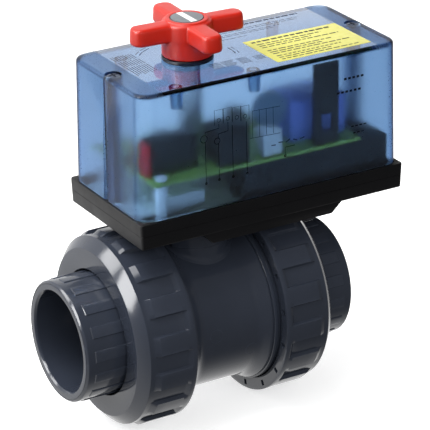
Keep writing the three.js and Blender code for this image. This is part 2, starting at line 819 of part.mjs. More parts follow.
function outputShaft() {
  const profile = [
    [0, shaftBottomZ],
    [shaftFootRadius, shaftBottomZ],
    [shaftFootRadius, shaftFootTopZ],
    [shaftSeatRadius, shaftFootTopZ],
    [shaftSeatRadius, shaftSeatTopZ],
    [shaftRadius, shaftSeatTopZ],
    [shaftRadius, shaftTopZ],
    [0, shaftTopZ],
  ];
  const half = stemSquare / 2 + gap;
  const socket = block([-half, half], [-half, half], [shaftBottomZ - over, stemTopZ + gap]);
  return cut(turnedAboutZ(profile, medium), socket);
}

function addDrive() {
  const boreRadius = shaftRadius + gap;
  place('output_shaft', steel, outputShaft());
  const footRadius = shaftFootRadius + gap;
  place('lower_shaft_bush', gearPlastic, tube(hubBoreRadius - gap, footRadius, ...lowerBushZ));
  place('upper_shaft_bush', gearPlastic, tube(shaftHoleRadius - gap, boreRadius, ...upperBushZ));
  const collarZ = [coverTopZ + gap, knobCollarTopZ];
  place('knob_collar', blackRubber, tube(knobCollarRadius, boreRadius, ...collarZ));
  place('hand_knob', redPlastic, handKnob());
  const discZ = [knobTopZ - indicatorDepth, knobTopZ + indicatorProud];
  place('indicator_disc', greyPlastic, pillar(indicatorRadius, ...discZ, origin, medium));
}

// ---------- gear train ----------

// Straight-flanked teeth at the pressure angle, thinned by the backlash; the first tooth is centred on +X.
function gearOutline(teeth) {
  const pitch = pitchRadius(teeth);
  const tip = pitch + toothAddendum * gearModule;
  const root = pitch - toothDedendum * gearModule;
  const halfTooth = (Math.PI * gearModule) / 4 - toothBacklash / 2;
  const slope = Math.tan(pressureAngle);
  const halfAt = (radius) => (halfTooth - (radius - pitch) * slope) / radius;
  const points = [];
  for (let tooth = 0; tooth < teeth; tooth += 1) {
    const middle = (2 * Math.PI * tooth) / teeth;
    const corners = [[root, -halfAt(root)], [tip, -halfAt(tip)], [tip, halfAt(tip)], [root, halfAt(root)]];
    for (const [radius, angle] of corners) {
      points.push([radius * Math.cos(middle + angle), radius * Math.sin(middle + angle)]);
    }
  }
  return points;
}

// A gear whose first tooth points in the given direction, in degrees from +X.
function gear(teeth, [bottom, top], direction = 0) {
  return prism(gearOutline(teeth), bottom, top).rotate([0, 0, direction]);
}

function outputGear() {
  const [bottom, top] = outputGearZ;
  const bore = pillar(shaftSeatRadius + gap, bottom - over, top + over, origin, medium);
  return cut(gear(outputTeeth, outputGearZ), bore);
}

// A wheel with the smaller pinion that drives the next gear towards the stem.
function compoundGear(wheelTeeth, wheelZ, pinionZ) {
  const gapTowardsStem = 180 + 180 / pinionTeeth;
  const wheel = gear(wheelTeeth, wheelZ);
  const pinion = gear(pinionTeeth, pinionZ, gapTowardsStem);
  return cut(join(wheel, pinion), pillar(gearBoreRadius, pinionZ[0] - over, wheelZ[1] + over));
}

function motorPinion() {
  const toothTowardsWheel = 180 + THREE.MathUtils.radToDeg(motorDirection);
  const [bottom, top] = wheelOneZ;
  const bore = pillar(motorShaftRadius + gap, bottom - over, top + over);
  return cut(gear(pinionTeeth, wheelOneZ, toothTowardsWheel), bore);
}

function motor() {
  const [bottom, top] = motorZ;
  const profile = [
    [0, bottom],
    [motorRadius, bottom],
    [motorRadius, top],
    [motorNoseRadius, top],
    [motorNoseRadius, motorNoseTopZ],
    [motorShaftRadius, motorNoseTopZ],
    [motorShaftRadius, motorShaftTopZ],
    [0, motorShaftTopZ],
  ];
  return turnedAboutZ(profile, medium);
}

function gearAxle(bottom) {
  return pillar(axleRadius, bottom, gearboxTopZ - axleTopGap);
}

function gearboxHousing() {
  const [x0, x1] = [gearboxLeftX, gearboxRightX];
  const outer = block([x0, x1], [-gearboxHalfY, gearboxHalfY], [gearboxBottomZ, gearboxTopZ]);
  const innerY = gearboxHalfY - gearboxWall;
  const below = gearboxBottomZ - over;
  const innerX = [x0 + gearboxWall, x1 - gearboxWall];
  const inner = block(innerX, [-innerY, innerY], [below, gearboxTopZ - gearboxRoof]);
  const screwBayY = [-gearboxScrewBayHalfY, gearboxScrewBayHalfY];
  const screwBay = block([gearboxScrewBayX, x1 + over], screwBayY, [below, gearboxTopZ + over]);
  const gearBayY = [-gearboxGearBayHalfY, gearboxGearBayHalfY];
  const gearBay = block([x0 - over, x0 + gearboxWall + over], gearBayY, [below, gearboxGearBayTopZ]);
  return cut(outer, inner, screwBay, gearBay);
}

function addGears() {
  const atAxleTwo = new THREE.Group();
  const atAxleOne = new THREE.Group();
  const atMotor = new THREE.Group();
  atAxleTwo.position.x = axleTwoX;
  atAxleOne.position.x = axleOneX;
  atMotor.position.set(motorX, motorY, 0);
  assembly.add(atAxleTwo, atAxleOne, atMotor);
  const pinionTwoZ = [outputGearZ[0], wheelTwoZ[0] + gap];
  const pinionOneZ = [wheelTwoZ[0], wheelOneZ[0] + gap];
  place('output_gear', gearPlastic, outputGear());
  place('intermediate_gear_2', gearPlastic, compoundGear(wheelTwoTeeth, wheelTwoZ, pinionTwoZ), atAxleTwo);
  place('gear_axle_2', steel, gearAxle(axleTwoBottomZ), atAxleTwo);
  place('intermediate_gear_1', gearPlastic, compoundGear(wheelOneTeeth, wheelOneZ, pinionOneZ), atAxleOne);
  place('gear_axle_1', steel, gearAxle(axleOneBottomZ), atAxleOne);
  place('motor', steel, motor(), atMotor);
  place('motor_pinion', gearPlastic, motorPinion(), atMotor);
  place('gearbox_housing', blackPlastic, gearboxHousing());
}

// ---------- limit switches ----------

// A cam whose radius grows steadily over the quarter turn that ends at the given angle.
function cam(peak, direction, [bottom, top]) {
  const points = [];
  for (let step = 0; step < camSteps; step += 1) {
    const behind = (2 * Math.PI * step) / camSteps;
    const rise = Math.max(0, 1 - behind / quarterTurn);
    const radius = camBaseRadius + (camLiftRadius - camBaseRadius) * rise;
    const angle = peak + direction * behind;
    points.push([radius * Math.cos(angle), radius * Math.sin(angle)]);
  }
  if (direction < 0) points.reverse();
  const bore = pillar(shaftSeatRadius + gap, bottom - over, top + over, origin, medium);
  return cut(prism(points, bottom, top), bore);
}

function switchLever([bottom, top], side) {
  const y = [0, -side * leverThickness].sort((a, b) => a - b);
  return block([leverTailX, leverTipX - leverPivot[0]], y, [bottom, top]);
}

function addLever(name, side, height, turn) {
  const pivot = new THREE.Group();
  pivot.position.set(leverPivot[0], side * leverPivot[1], 0);
  pivot.rotation.z = turn;
  assembly.add(pivot);
  place(name, steel, switchLever(height, side), pivot);
}

function limitSwitch(side) {
  const y = switchY.map((edge) => side * edge).sort((a, b) => a - b);
  return block(switchX, y, [switchBottomZ, switchBottomZ + switchHeight]);
}

function switchBracket() {
  const footY = [-bracketFootHalfY, bracketFootHalfY];
  const shelfY = [-bracketShelfHalfY, bracketShelfHalfY];
  const bottom = trayFloorZ + gap;
  const foot = block([bracketBackX, bracketFootX], footY, [bottom, bracketFootTopZ]);
  const shelf = block([bracketBackX, bracketShelfX], shelfY, bracketShelfZ);
  const bayZ = [bottom - over, bracketShelfZ[1] + over];
  return cut(join(foot, shelf), pillar(bracketBayRadius, ...bayZ, [coverScrewXs[0], 0], small));
}

function addSwitches() {
  const narrow = ([bottom, top]) => [bottom + leverClearance, top - leverClearance];
  place('closed_cam', whitePlastic, cam(-quarterTurn, -1, closedCamZ));
  place('open_cam', whitePlastic, cam(0, 1, openCamZ));
  place('switch_bracket', blackPlastic, switchBracket());
  place('closed_limit_switch', blackPlastic, limitSwitch(-1));
  place('open_limit_switch', blackPlastic, limitSwitch(1));
  addLever('closed_switch_lever', -1, narrow(closedCamZ), 0);
  addLever('open_switch_lever', 1, narrow(openCamZ), -leverSwing);
}

// ---------- electronics ----------

function circuitBoard() {
  const board = block(boardX, [-boardHalfY, boardHalfY], boardZ);
  const holeZ = [boardZ[0] - over, boardZ[1] + over];
  const mountHole = (side) => pillar(boardScrewHoleRadius, ...holeZ, [standoffX, side * standoffY]);
  const shaftHole = pillar(boardShaftHoleRadius, ...holeZ, origin, medium);
  return cut(board, shaftHole, ...[-1, 1].map(mountHole));
}

function boardStandoff(at) {
  const post = pillar(standoffRadius, trayFloorZ + gap, boardZ[0] - boardGap, at);
  return cut(post, pillar(standoffHoleRadius, standoffHoleBottomZ, boardZ[0] + over, at));
}

function boardScrew([x, y]) {
  const seatZ = boardZ[1] + boardGap;
  const shank = [boardScrewRadius, boardScrewBottomZ, seatZ];
  return screw(shank, boardScrewHeadRadius, seatZ + boardScrewHeadHeight).translate([x, y, 0]);
}

// A box that stands on the board.
function onBoard({ x, y, height }) {
  const bottom = boardZ[1] + boardGap;
  return block(x, y, [bottom, bottom + height]);
}

function surgeVaristor() {
  const [x, y] = varistorPlace;
  const bottom = boardZ[1] + boardGap;
  const half = varistorHalfThickness;
  const disc = pillar(varistorRadius, -half, half, origin, small).rotate([90, 0, 0]);
  const leg = block(
    [x - varistorLegHalfWidth, x + varistorLegHalfWidth],
    [y - half / 2, y + half / 2],
    [bottom, bottom + varistorLegHeight],
  );
  return join(disc.translate([x, y, bottom + varistorRise]), leg);
}

// A slotted guard strip that stands on the board in front of the transformer.
function terminalGuard() {
  const bottom = boardZ[1] + boardGap;
  const [low, high] = stripSlot.fromBoard;
  const [front, back] = terminalStrip.y;
  const slot = block(stripSlot.x, [front - over, back + over], [bottom + low, bottom + high]);
  return cut(onBoard(terminalStrip), slot);
}

function addElectronics() {
  place('circuit_board', boardGreen, circuitBoard());
  for (const [name, side] of [['front', -1], ['rear', 1]]) {
    const at = [standoffX, side * standoffY];
    place(`${name}_board_standoff`, blackPlastic, boardStandoff(at));
    place(`${name}_board_screw`, whitePlastic, boardScrew(at));
  }
  place('closing_relay', blackPlastic, onBoard(closingRelay));
  place('opening_relay', blackPlastic, onBoard(openingRelay));
  place('filter_capacitor', redPlastic, onBoard(filterCapacitor));
  place('terminal_block', whitePlastic, onBoard(terminalBlock));
  place('surge_varistor', discGreen, surgeVaristor());
  place('supply_transformer', bluePlastic, onBoard(supplyTransformer));
  place('terminal_guard', blackPlastic, terminalGuard());
}

addValve();
addCase();
addDrive();
addGears();
addSwitches();
addElectronics();

export default assembly;
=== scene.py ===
import math

import bmesh
import bpy
from mathutils import Matrix, Vector


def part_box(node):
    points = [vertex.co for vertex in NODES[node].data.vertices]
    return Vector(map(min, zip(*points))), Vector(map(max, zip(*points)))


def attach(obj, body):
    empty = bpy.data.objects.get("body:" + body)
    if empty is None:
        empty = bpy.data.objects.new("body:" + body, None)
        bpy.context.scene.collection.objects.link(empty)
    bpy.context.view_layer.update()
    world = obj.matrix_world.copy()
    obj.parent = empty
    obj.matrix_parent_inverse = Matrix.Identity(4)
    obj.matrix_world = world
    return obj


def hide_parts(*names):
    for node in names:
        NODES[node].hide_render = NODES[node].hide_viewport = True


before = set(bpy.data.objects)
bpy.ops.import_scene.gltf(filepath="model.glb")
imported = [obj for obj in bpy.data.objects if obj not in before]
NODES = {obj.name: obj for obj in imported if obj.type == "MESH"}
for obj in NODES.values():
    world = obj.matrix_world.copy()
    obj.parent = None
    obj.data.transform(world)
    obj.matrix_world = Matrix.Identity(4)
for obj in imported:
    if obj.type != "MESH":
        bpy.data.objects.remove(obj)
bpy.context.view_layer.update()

# Looks of an electric quarter-turn actuator on a true-union plastic ball valve.
# Builders work in millimetres in the CAD frame: X along the pipe, Z up, origin where pipe and stem axes meet.

MM = 0.001


def limits(node):
    """Lowest and highest corner of a CAD node, in millimetres."""
    low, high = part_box(node)
    return [c / MM for c in low], [c / MM for c in high]


# ---------- driving sizes, in millimetres; bores are given as radii ----------

BARREL_RADIUS = 38.0
PORT_RADIUS = 20.0
STEM_BORE = 9.3
SHAFT_BORE = 12.0
NECK_HALF_X = 18.2
GRIP_COUNT = 16
RIGHT_NUT_TURN, LEFT_NUT_TURN = -2.2, 5  # degrees
KNOB_TURN = math.radians(-3)
TRAY_FLOOR = 57.0
COVER_CORNER = 9.0
COVER_WALL = 2.4
COVER_DRAFT = 1.0
WINDOW_X = (-32.6, 86.0)


def case_sizes(node):
    """Middle along X, half length, half width, bottom and top of a case part."""
    low, high = limits(node)
    return (low[0] + high[0]) / 2, (high[0] - low[0]) / 2, (high[1] - low[1]) / 2, low[2], high[2]


COVER_CENTER, COVER_HALF_X, COVER_HALF_Y, COVER_BOTTOM, COVER_TOP = case_sizes("cover")


def middle(node):
    """Middle of a CAD node along X and Y."""
    low, high = limits(node)
    return ((low[0] + high[0]) / 2, (low[1] + high[1]) / 2)


# ---------- camera ----------

AZIMUTH, ELEVATION, ROLL = math.radians(-30.078), math.radians(23.475), math.radians(-0.92)
CAMERA_DISTANCE, CAMERA_RIGHT, CAMERA_UP = 1293.99, 11.09, 45.08
SENSOR_WIDTH, FOCAL_LENGTH = 36, 219.4
CLIP_START, CLIP_END = 0.05, 20  # metres


def add_camera():
    back = Vector((
        math.sin(AZIMUTH) * math.cos(ELEVATION),
        -math.cos(AZIMUTH) * math.cos(ELEVATION),
        math.sin(ELEVATION),
    ))
    level = Vector((math.cos(AZIMUTH), math.sin(AZIMUTH), 0))
    above = back.cross(level)
    right = level * math.cos(ROLL) + above * math.sin(ROLL)
    up = above * math.cos(ROLL) - level * math.sin(ROLL)
    data = bpy.data.cameras.new("camera")
    data.sensor_width = SENSOR_WIDTH
    data.lens = FOCAL_LENGTH
    data.clip_start = CLIP_START
    data.clip_end = CLIP_END
    camera = bpy.data.objects.new("camera", data)
    bpy.context.scene.collection.objects.link(camera)
    place = (back * CAMERA_DISTANCE + right * CAMERA_RIGHT + up * CAMERA_UP) * MM
    turn = Matrix((right, up, back)).transposed()
    camera.matrix_world = Matrix.Translation(place) @ turn.to_4x4()
    bpy.context.scene.camera = camera


# ---------- materials ----------

MIX_FIRST, MIX_SECOND, MIX_RESULT = 6, 7, 2  # the colour sockets of a Mix node
CLOUD_SCALE, GLOSS_SCALE, SCUFF_SCALE, FROST_SCALE = 38, 120, 420, 1500  # noise cells per metre
CORNER_POINTINESS = (0.52, 0.6)
WORN_GAIN = 3.2
PLASTIC_IOR, COVER_IOR = 1.5, 1.27
POLISHED_ROUGHNESS = 0.06
COVER_TINT, COVER_DENSITY = (0.25, 0.45, 0.68, 1), 400
TOP_SKIN, ROOF_SKIN = 0.6, 2.9


class Nodes:
    """A material's node tree, with short ways to add and join nodes."""

    def __init__(self, name):
        self.material = bpy.data.materials.new(name)
        self.material.use_nodes = True
        self.tree = self.material.node_tree
        self.shader = next(n for n in self.tree.nodes if n.type == "BSDF_PRINCIPLED")
        self.output = next(n for n in self.tree.nodes if n.type == "OUTPUT_MATERIAL")
        self.position = self.add("ShaderNodeTexCoord").outputs["Object"]

    def fill(self, node, inputs):
        for name, value in inputs.items():
            self.put(node.inputs[name.replace("_", " ")], value)
        return node

    def add(self, kind, **inputs):
        return self.fill(self.tree.nodes.new(kind), inputs)

    def shade(self, **inputs):
        self.fill(self.shader, inputs)

    def put(self, socket, value):
        if isinstance(value, bpy.types.NodeSocket):
            self.tree.links.new(value, socket)
        else:
            socket.default_value = value

    def noise(self, scale, detail=3.0, stretch=None):
        where = self.position
        if stretch:
            mapping = self.add("ShaderNodeMapping", Vector=where, Scale=stretch)
            where = mapping.outputs["Vector"]
        return self.add("ShaderNodeTexNoise", Vector=where, Scale=scale, Detail=detail).outputs["Fac"]

    def spread(self, value, low, high, source=(0.3, 0.7)):
        node = self.add("ShaderNodeMapRange", Value=value)
        for index, number in enumerate((*source, low, high), start=1):
            node.inputs[index].default_value = number
        return node.outputs["Result"]

    def blend(self, factor, first, second):
        node = self.tree.nodes.new("ShaderNodeMix")
        node.data_type = "RGBA"
        self.put(node.inputs["Factor"], factor)
        self.put(node.inputs[MIX_FIRST], first)
        self.put(node.inputs[MIX_SECOND], second)
        return node.outputs[MIX_RESULT]

    def math(self, operation, first, second=0.0):
        node = self.tree.nodes.new("ShaderNodeMath")
        node.operation = operation
        self.put(node.inputs[0], first)
        self.put(node.inputs[1], second)
        return node.outputs["Value"]

    def bump(self, height, strength, distance):
        node = self.add("ShaderNodeBump", Height=height, Strength=strength, Distance=distance * MM)
        self.shade(Normal=node.outputs["Normal"])


def linear(red, green, blue):
    """Linear colour from 0-255 screen values, by the sRGB curve."""
    def one(c):
        c /= 255
        return c / 12.92 if c <= 0.04045 else ((c + 0.055) / 1.055) ** 2.4
    return (one(red), one(green), one(blue), 1)


def scaled(color, factor):
    return (*(min(1.0, c * factor) for c in color[:3]), 1)


def moulded(name, color, rough, vary=0.12, grain=0.35, bump=0.3, depth=0.02, edge=0.0, shine=0.5):
    """Moulded plastic or rubber: cloudy colour, uneven gloss, grain sized in millimetres and worn edges."""
    n = Nodes(name)
    tint = n.blend(n.spread(n.noise(CLOUD_SCALE, 4), 0, 1), scaled(color, 1 - vary), scaled(color, 1 + vary))
    if edge:
        corner = n.spread(n.add("ShaderNodeNewGeometry").outputs["Pointiness"], 0, 1, CORNER_POINTINESS)
        worn = n.math("MULTIPLY", corner, n.spread(n.noise(SCUFF_SCALE, 2), 0.3, 1))
        tint = n.blend(n.math("MULTIPLY", worn, edge), tint, scaled(color, WORN_GAIN))
    gloss = n.spread(n.noise(GLOSS_SCALE), *rough)
    n.shade(Base_Color=tint, Roughness=gloss, Specular_IOR_Level=shine, IOR=PLASTIC_IOR)
    n.bump(n.noise(1 / (grain * MM), 2), bump, depth)
    return n.material


def tinted_cover(name):
    """Blue clear plastic, frosted all over except for a polished window in its roof."""
    n = Nodes(name)
    split = n.add("ShaderNodeSeparateXYZ", Vector=n.position)
    height, along = split.outputs["Z"], split.outputs["X"]
    past_start = n.math("GREATER_THAN", along, WINDOW_X[0] * MM)
    before_end = n.math("LESS_THAN", along, WINDOW_X[1] * MM)
    between = n.math("MULTIPLY", past_start, before_end)
    window = n.math("MULTIPLY", n.math("GREATER_THAN", height, (COVER_TOP - TOP_SKIN) * MM), between)
    polished = n.math("MULTIPLY", n.math("GREATER_THAN", height, (COVER_TOP - ROOF_SKIN) * MM), between)
    matt = n.math("SUBTRACT", 1.0, polished)
    grain = n.noise(FROST_SCALE, 2)
    frost = n.math("MULTIPLY", matt, n.spread(grain, 0.2, 0.3))
    tone = n.blend(n.spread(n.noise(60), 0, 1), (0.86, 0.95, 0.97, 1), (0.92, 0.99, 1, 1))
    n.shade(Base_Color=tone, Roughness=n.math("ADD", POLISHED_ROUGHNESS, frost), IOR=COVER_IOR)
    n.shade(Coat_Weight=window, Coat_Roughness=0.03, Transmission_Weight=1.0)
    n.bump(n.math("MULTIPLY", grain, matt), 0.16, 0.012)
    absorb = n.add("ShaderNodeVolumeAbsorption", Color=COVER_TINT, Density=COVER_DENSITY)
    n.put(n.output.inputs["Volume"], absorb.outputs["Volume"])
    return n.material


def printed_label(name):
    """Yellow film, slightly cloudy. The dashes on it are a piece of their own."""
    n = Nodes(name)
    yellow = n.blend(n.spread(n.noise(300, 2), 0, 1), linear(208, 204, 96), linear(214, 210, 110))
    n.shade(Base_Color=yellow, Roughness=n.spread(n.noise(500, 2), 0.32, 0.45))
    n.bump(n.noise(900, 2), 0.1, 0.01)
    return n.material


def turned_metal(name, color):
    """Bare metal with fine streaks round its axis."""
    n = Nodes(name)
    streaks = n.noise(260, 4, (1, 1, 12))
    tint = n.blend(n.spread(streaks, 0, 1), scaled(color, 0.8), color)
    n.shade(Base_Color=tint, Roughness=n.spread(streaks, 0.22, 0.4), Metallic=1)
    n.bump(n.noise(1200, 2, (1, 1, 6)), 0.2, 0.01)
    return n.material


PVC = moulded(
    "dark_blue_grey_pvc", linear(50, 55, 66), (0.11, 0.17),
    vary=0.07, grain=0.5, bump=0.1, depth=0.006, edge=0.2,
)
BLACK = moulded(
    "black_satin_plastic", linear(13, 13, 15), (0.34, 0.46), grain=0.3, depth=0.012, edge=0.2, shine=0.3,
)
RUBBER = moulded("black_rubber", linear(16, 16, 17), (0.6, 0.75), vary=0.15, grain=0.3)
COLLAR = moulded(
    "navy_black_plastic", linear(14, 15, 30), (0.25, 0.4), vary=0.1, grain=0.4, bump=0.2, depth=0.01,
)
RED = moulded(
    "satin_red_plastic", linear(190, 31, 13), (0.3, 0.4),
    vary=0.05, grain=0.5, bump=0.25, depth=0.012, edge=0.12,
)
DISC_GREY = moulded("indicator_grey", linear(108, 112, 116), (0.4, 0.5), vary=0.08)
WHITE = moulded("white_plastic", linear(232, 232, 230), (0.35, 0.45), vary=0.03)
FLUOROPOLYMER = moulded("white_fluoropolymer", linear(226, 226, 220), (0.4, 0.5), vary=0.03)
GEAR = moulded("ivory_gear_plastic", linear(214, 206, 184), (0.35, 0.5), vary=0.05)
BOARD = moulded("green_board", linear(150, 180, 84), (0.3, 0.4), vary=0.1, grain=0.8)
CHIP = moulded("black_component", linear(10, 10, 12), (0.4, 0.55), vary=0.1)
EPOXY = moulded("red_epoxy", linear(196, 30, 36), (0.25, 0.35), vary=0.08)
BLUE = moulded("blue_potting", linear(124, 142, 218), (0.3, 0.4), vary=0.06)
DISC_GREEN = moulded("grey_green_coating", linear(110, 132, 150), (0.45, 0.6), vary=0.08)
INK = moulded("dark_print", linear(8, 14, 18), (0.4, 0.5), vary=0.1)
PALE_INK = moulded("pale_print", linear(26, 38, 62), (0.4, 0.5), vary=0.1)
DARK_STEEL = turned_metal("dark_screw_steel", (0.12, 0.15, 0.22, 1))
STEEL = turned_metal("turned_steel", (0.62, 0.63, 0.64, 1))
COPPER = turned_metal("tinned_copper", (0.75, 0.62, 0.4, 1))
COVER = tinted_cover("frosted_blue_cover")
LABEL = printed_label("yellow_label_film")


# ---------- mesh helpers ----------

SAME_POINT = 1e-7  # metres
NEARLY_STRAIGHT = math.radians(172)
LONGEST_BEND = 0.45  # the share of an edge that a rounded corner may take
ALMOST_ROUND = 359.9


def finish_mesh(mesh, angle):
    """Joins equal points, turns the faces outwards and shades smooth up to an angle in degrees."""
    bm = bmesh.new()
    bm.from_mesh(mesh)
    bmesh.ops.remove_doubles(bm, verts=bm.verts, dist=SAME_POINT)
    bmesh.ops.recalc_face_normals(bm, faces=bm.faces)
    bm.to_mesh(mesh)
    bm.free()
    mesh.shade_smooth()
    mesh.set_sharp_from_angle(angle=math.radians(angle))


def make(name, shape, angle=32):
    """A loose object from (points, faces) in millimetres."""
    points, faces = shape
    mesh = bpy.data.meshes.new(name)
    mesh.from_pydata([[c * MM for c in p] for p in points], [], faces)
    finish_mesh(mesh, angle)
    obj = bpy.data.objects.new(name, mesh)
    bpy.context.scene.collection.objects.link(obj)
    return obj


def mount(obj, finish, body, slot=None, replaces=()):
    """Gives the piece its material, its body and the CAD nodes it stands for. The slot is not used."""
    obj.data.materials.clear()
    obj.data.materials.append(finish)
    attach(obj, body)
    if replaces:
        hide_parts(*replaces)
    return obj


def merge(*shapes):
    """Several (points, faces) shapes as one."""
    points, faces = [], []
    for more_points, more_faces in shapes:
        start = len(points)
        points.extend(more_points)
        faces.extend(tuple(start + i for i in face) for face in more_faces)
    return points, faces


def combine(obj, tool, operation, angle=32):
    """Applies one boolean to obj's mesh and removes the tool."""
    modifier = obj.modifiers.new("boolean", "BOOLEAN")
    modifier.operation = operation
    modifier.solver = "EXACT"
    modifier.object = tool
    bpy.context.view_layer.update()
    evaluated = obj.evaluated_get(bpy.context.evaluated_depsgraph_get())
    mesh = bpy.data.meshes.new_from_object(evaluated)
    obj.modifiers.clear()
    old = obj.data
    obj.data = mesh
    bpy.data.meshes.remove(old)
    bpy.data.objects.remove(tool)
    finish_mesh(obj.data, angle)
    return obj


def loft(rings, loop=False):
    """Skins rings of equal length; the ends are capped unless the rings close on themselves."""
    count = len(rings[0])
    points = [p for ring in rings for p in ring]
    faces = []
    for i in range(len(rings) if loop else len(rings) - 1):
        k = (i + 1) % len(rings)
        for j in range(count):
            n = (j + 1) % count
            faces.append((i * count + j, i * count + n, k * count + n, k * count + j))
    if not loop:
        last = (len(rings) - 1) * count
        faces.append(tuple(range(count)))
        faces.append(tuple(last + j for j in range(count)))
    return points, faces


def rounded(profile, radius, steps=3, closed=True):
    """A profile with its corners made into small curves. A point's third number is a radius of its own."""
    result = []
    count = len(profile)
    for i, corner in enumerate(profile):
        own = corner[2] if len(corner) > 2 else radius
        p = Vector(corner[:2])
        a = Vector(profile[i - 1][:2]) - p
        b = Vector(profile[(i + 1) % count][:2]) - p
        is_end = not closed and i in (0, count - 1)
        if is_end or own <= 0 or min(a.length, b.length) < SAME_POINT / MM or a.angle(b) > NEARLY_STRAIGHT:
            result.append(tuple(p))
            continue
        reach = min(own / math.tan(a.angle(b) / 2), a.length * LONGEST_BEND, b.length * LONGEST_BEND)
        start, end = p + a.normalized() * reach, p + b.normalized() * reach
        for step in range(steps + 1):
            s = step / steps
            result.append(tuple(start * (1 - s) ** 2 + p * (2 * s * (1 - s)) + end * s ** 2))
    return result


def about_x(profile, segments=128):
    """Turns a closed profile of (x, radius) about the pipe axis."""
    turns = [2 * math.pi * k / segments for k in range(segments)]
    return loft([[(x, r * math.sin(t), r * math.cos(t)) for t in turns] for x, r in profile], loop=True)


def about_z(profile, segments=96, center=(0, 0), loop=True):
    """Turns a profile of (radius, z) about a vertical axis. An open profile is capped at both ends."""
    turns = [2 * math.pi * k / segments for k in range(segments)]
    cx, cy = center
    rings = [[(cx + r * math.cos(t), cy + r * math.sin(t), z) for t in turns] for r, z in profile]
    return loft(rings, loop=loop)


def post(radius, bottom, top, segments, center=(0, 0)):
    """A capped cylinder about a vertical axis."""
    return about_z([(radius, bottom), (radius, top)], segments, center, loop=False)


def rounded_rectangle(center_x, half_x, half_y, radius, z, steps=8):
    """A level ring, centred on the X axis."""
    points = []
    for sx, sy, start in ((1, -1, -90), (1, 1, 0), (-1, 1, 90), (-1, -1, 180)):
        for k in range(steps + 1):
            a = math.radians(start + 90 * k / steps)
            x = center_x + sx * (half_x - radius) + radius * math.cos(a)
            points.append((x, sy * (half_y - radius) + radius * math.sin(a), z))
    return points


def brick(low, high, radius=0.4, steps=3):
    """A box with rounded vertical edges and softened top and bottom edges."""
    cx, cy = (low[0] + high[0]) / 2, (low[1] + high[1]) / 2
    hx, hy = (high[0] - low[0]) / 2, (high[1] - low[1]) / 2
    soft = min(radius, hx * LONGEST_BEND, hy * LONGEST_BEND, (high[2] - low[2]) * LONGEST_BEND)
    knee = soft * 0.3
    levels = [(low[2], soft), (low[2] + knee, knee), (low[2] + soft, 0)]
    levels += [(high[2] - soft, 0), (high[2] - knee, knee), (high[2], soft)]
    rings = []
    for z, inset in levels:
        widest = min(hx - inset, hy - inset) * 0.95
        corner = min(max(0.05, soft * 1.4 - inset), widest)
        ring = rounded_rectangle(cx, hx - inset, hy - inset, corner, z, steps)
        rings.append([(x, y + cy, z) for x, y, z in ring])
    return loft(rings)


def strip(points, width, lift, surface):
    """A thin raised line along 2D points, laid on a surface given by surface(u, v, height)."""
    rings = []
    count = len(points)
    for i, p in enumerate(points):
        a, b = Vector(points[max(i - 1, 0)]), Vector(points[min(i + 1, count - 1)])
        side = (b - a).normalized()
        side = Vector((-side.y, side.x)) * width / 2
        u0, v0 = p[0] + side.x, p[1] + side.y
        u1, v1 = p[0] - side.x, p[1] - side.y
        corners = ((u0, v0, -lift), (u1, v1, -lift), (u1, v1, lift), (u0, v0, lift))
        rings.append([surface(*corner) for corner in corners])
    return loft(rings)


def arc(center, radius, start, end, steps=24):
    """Points along an arc between two angles in degrees."""
    turns = [math.radians(start + (end - start) * k / steps) for k in range(steps + 1)]
    return [(center[0] + radius * math.cos(t), center[1] + radius * math.sin(t)) for t in turns]


def circle(center, radius, steps=24):
    """Points round a circle that stops just short of its start, so that its line closes without overlapping."""
    return arc(center, radius, 0, ALMOST_ROUND, steps)


# ---------- valve ----------

def mirrored(shape):
    """The same shape at the other end of the pipe."""
    points, faces = shape
    return [(-x, -y, z) for x, y, z in points], faces


def valve_body():
    """The moulded body: barrel, lips and flanges, with the bores for the pipe, the seats and the stem."""
    end = limits("valve_body")[1][0]
    outer = BARREL_RADIUS
    half = [
        (16, outer, 9), (20.6, outer + 3, 1.5), (21.7, outer + 3.1), (21.8, outer + 2.7), (22.1, outer + 2.7),
        (22.2, outer + 3.8), (24, outer + 3.8), (24.2, outer + 3.5), (end - 1, outer + 3.5), (end, outer + 2.5),
    ]
    left = [(-p[0], *p[1:]) for p in reversed(half)]
    chamber, carrier_bore, chamber_end = 28.7, 33, 25.2
    inside = [
        (end, carrier_bore), (chamber_end, carrier_bore), (chamber_end, chamber), (-chamber_end, chamber),
        (-chamber_end, PORT_RADIUS), (-end, PORT_RADIUS),
    ]
    shell = about_x(rounded([*left, (0, outer, 0), *half, *inside], 0.35), 160)
    body = make("valve_body_moulding", shell)
    combine(body, make("stem_bore", post(STEM_BORE, 20, 45, 64)), "DIFFERENCE")
    mount(body, PVC, "housing", "pvc_grey", ["valve_body"])
    marks = [mould_mark(x, math.radians(degrees)) for x, degrees in ((-8.5, 88), (12, 107))]
    mount(make("valve_body_gate_marks", merge(*marks)), PVC, "housing", "pvc_grey")
    mount(make("valve_neck", neck()), PVC, "housing", "pvc_grey")


def mould_mark(x, turn, size=3.4):
    """A faint round ejector mark on the barrel, turned from the top towards the front."""
    width, lift = 0.3, 0.07

    def on_barrel(u, v, height):
        t = turn + v / BARREL_RADIUS
        r = BARREL_RADIUS + height
        return (x + u, -r * math.sin(t), r * math.cos(t))
    return strip(circle((0, 0), size, 40), width, lift, on_barrel)


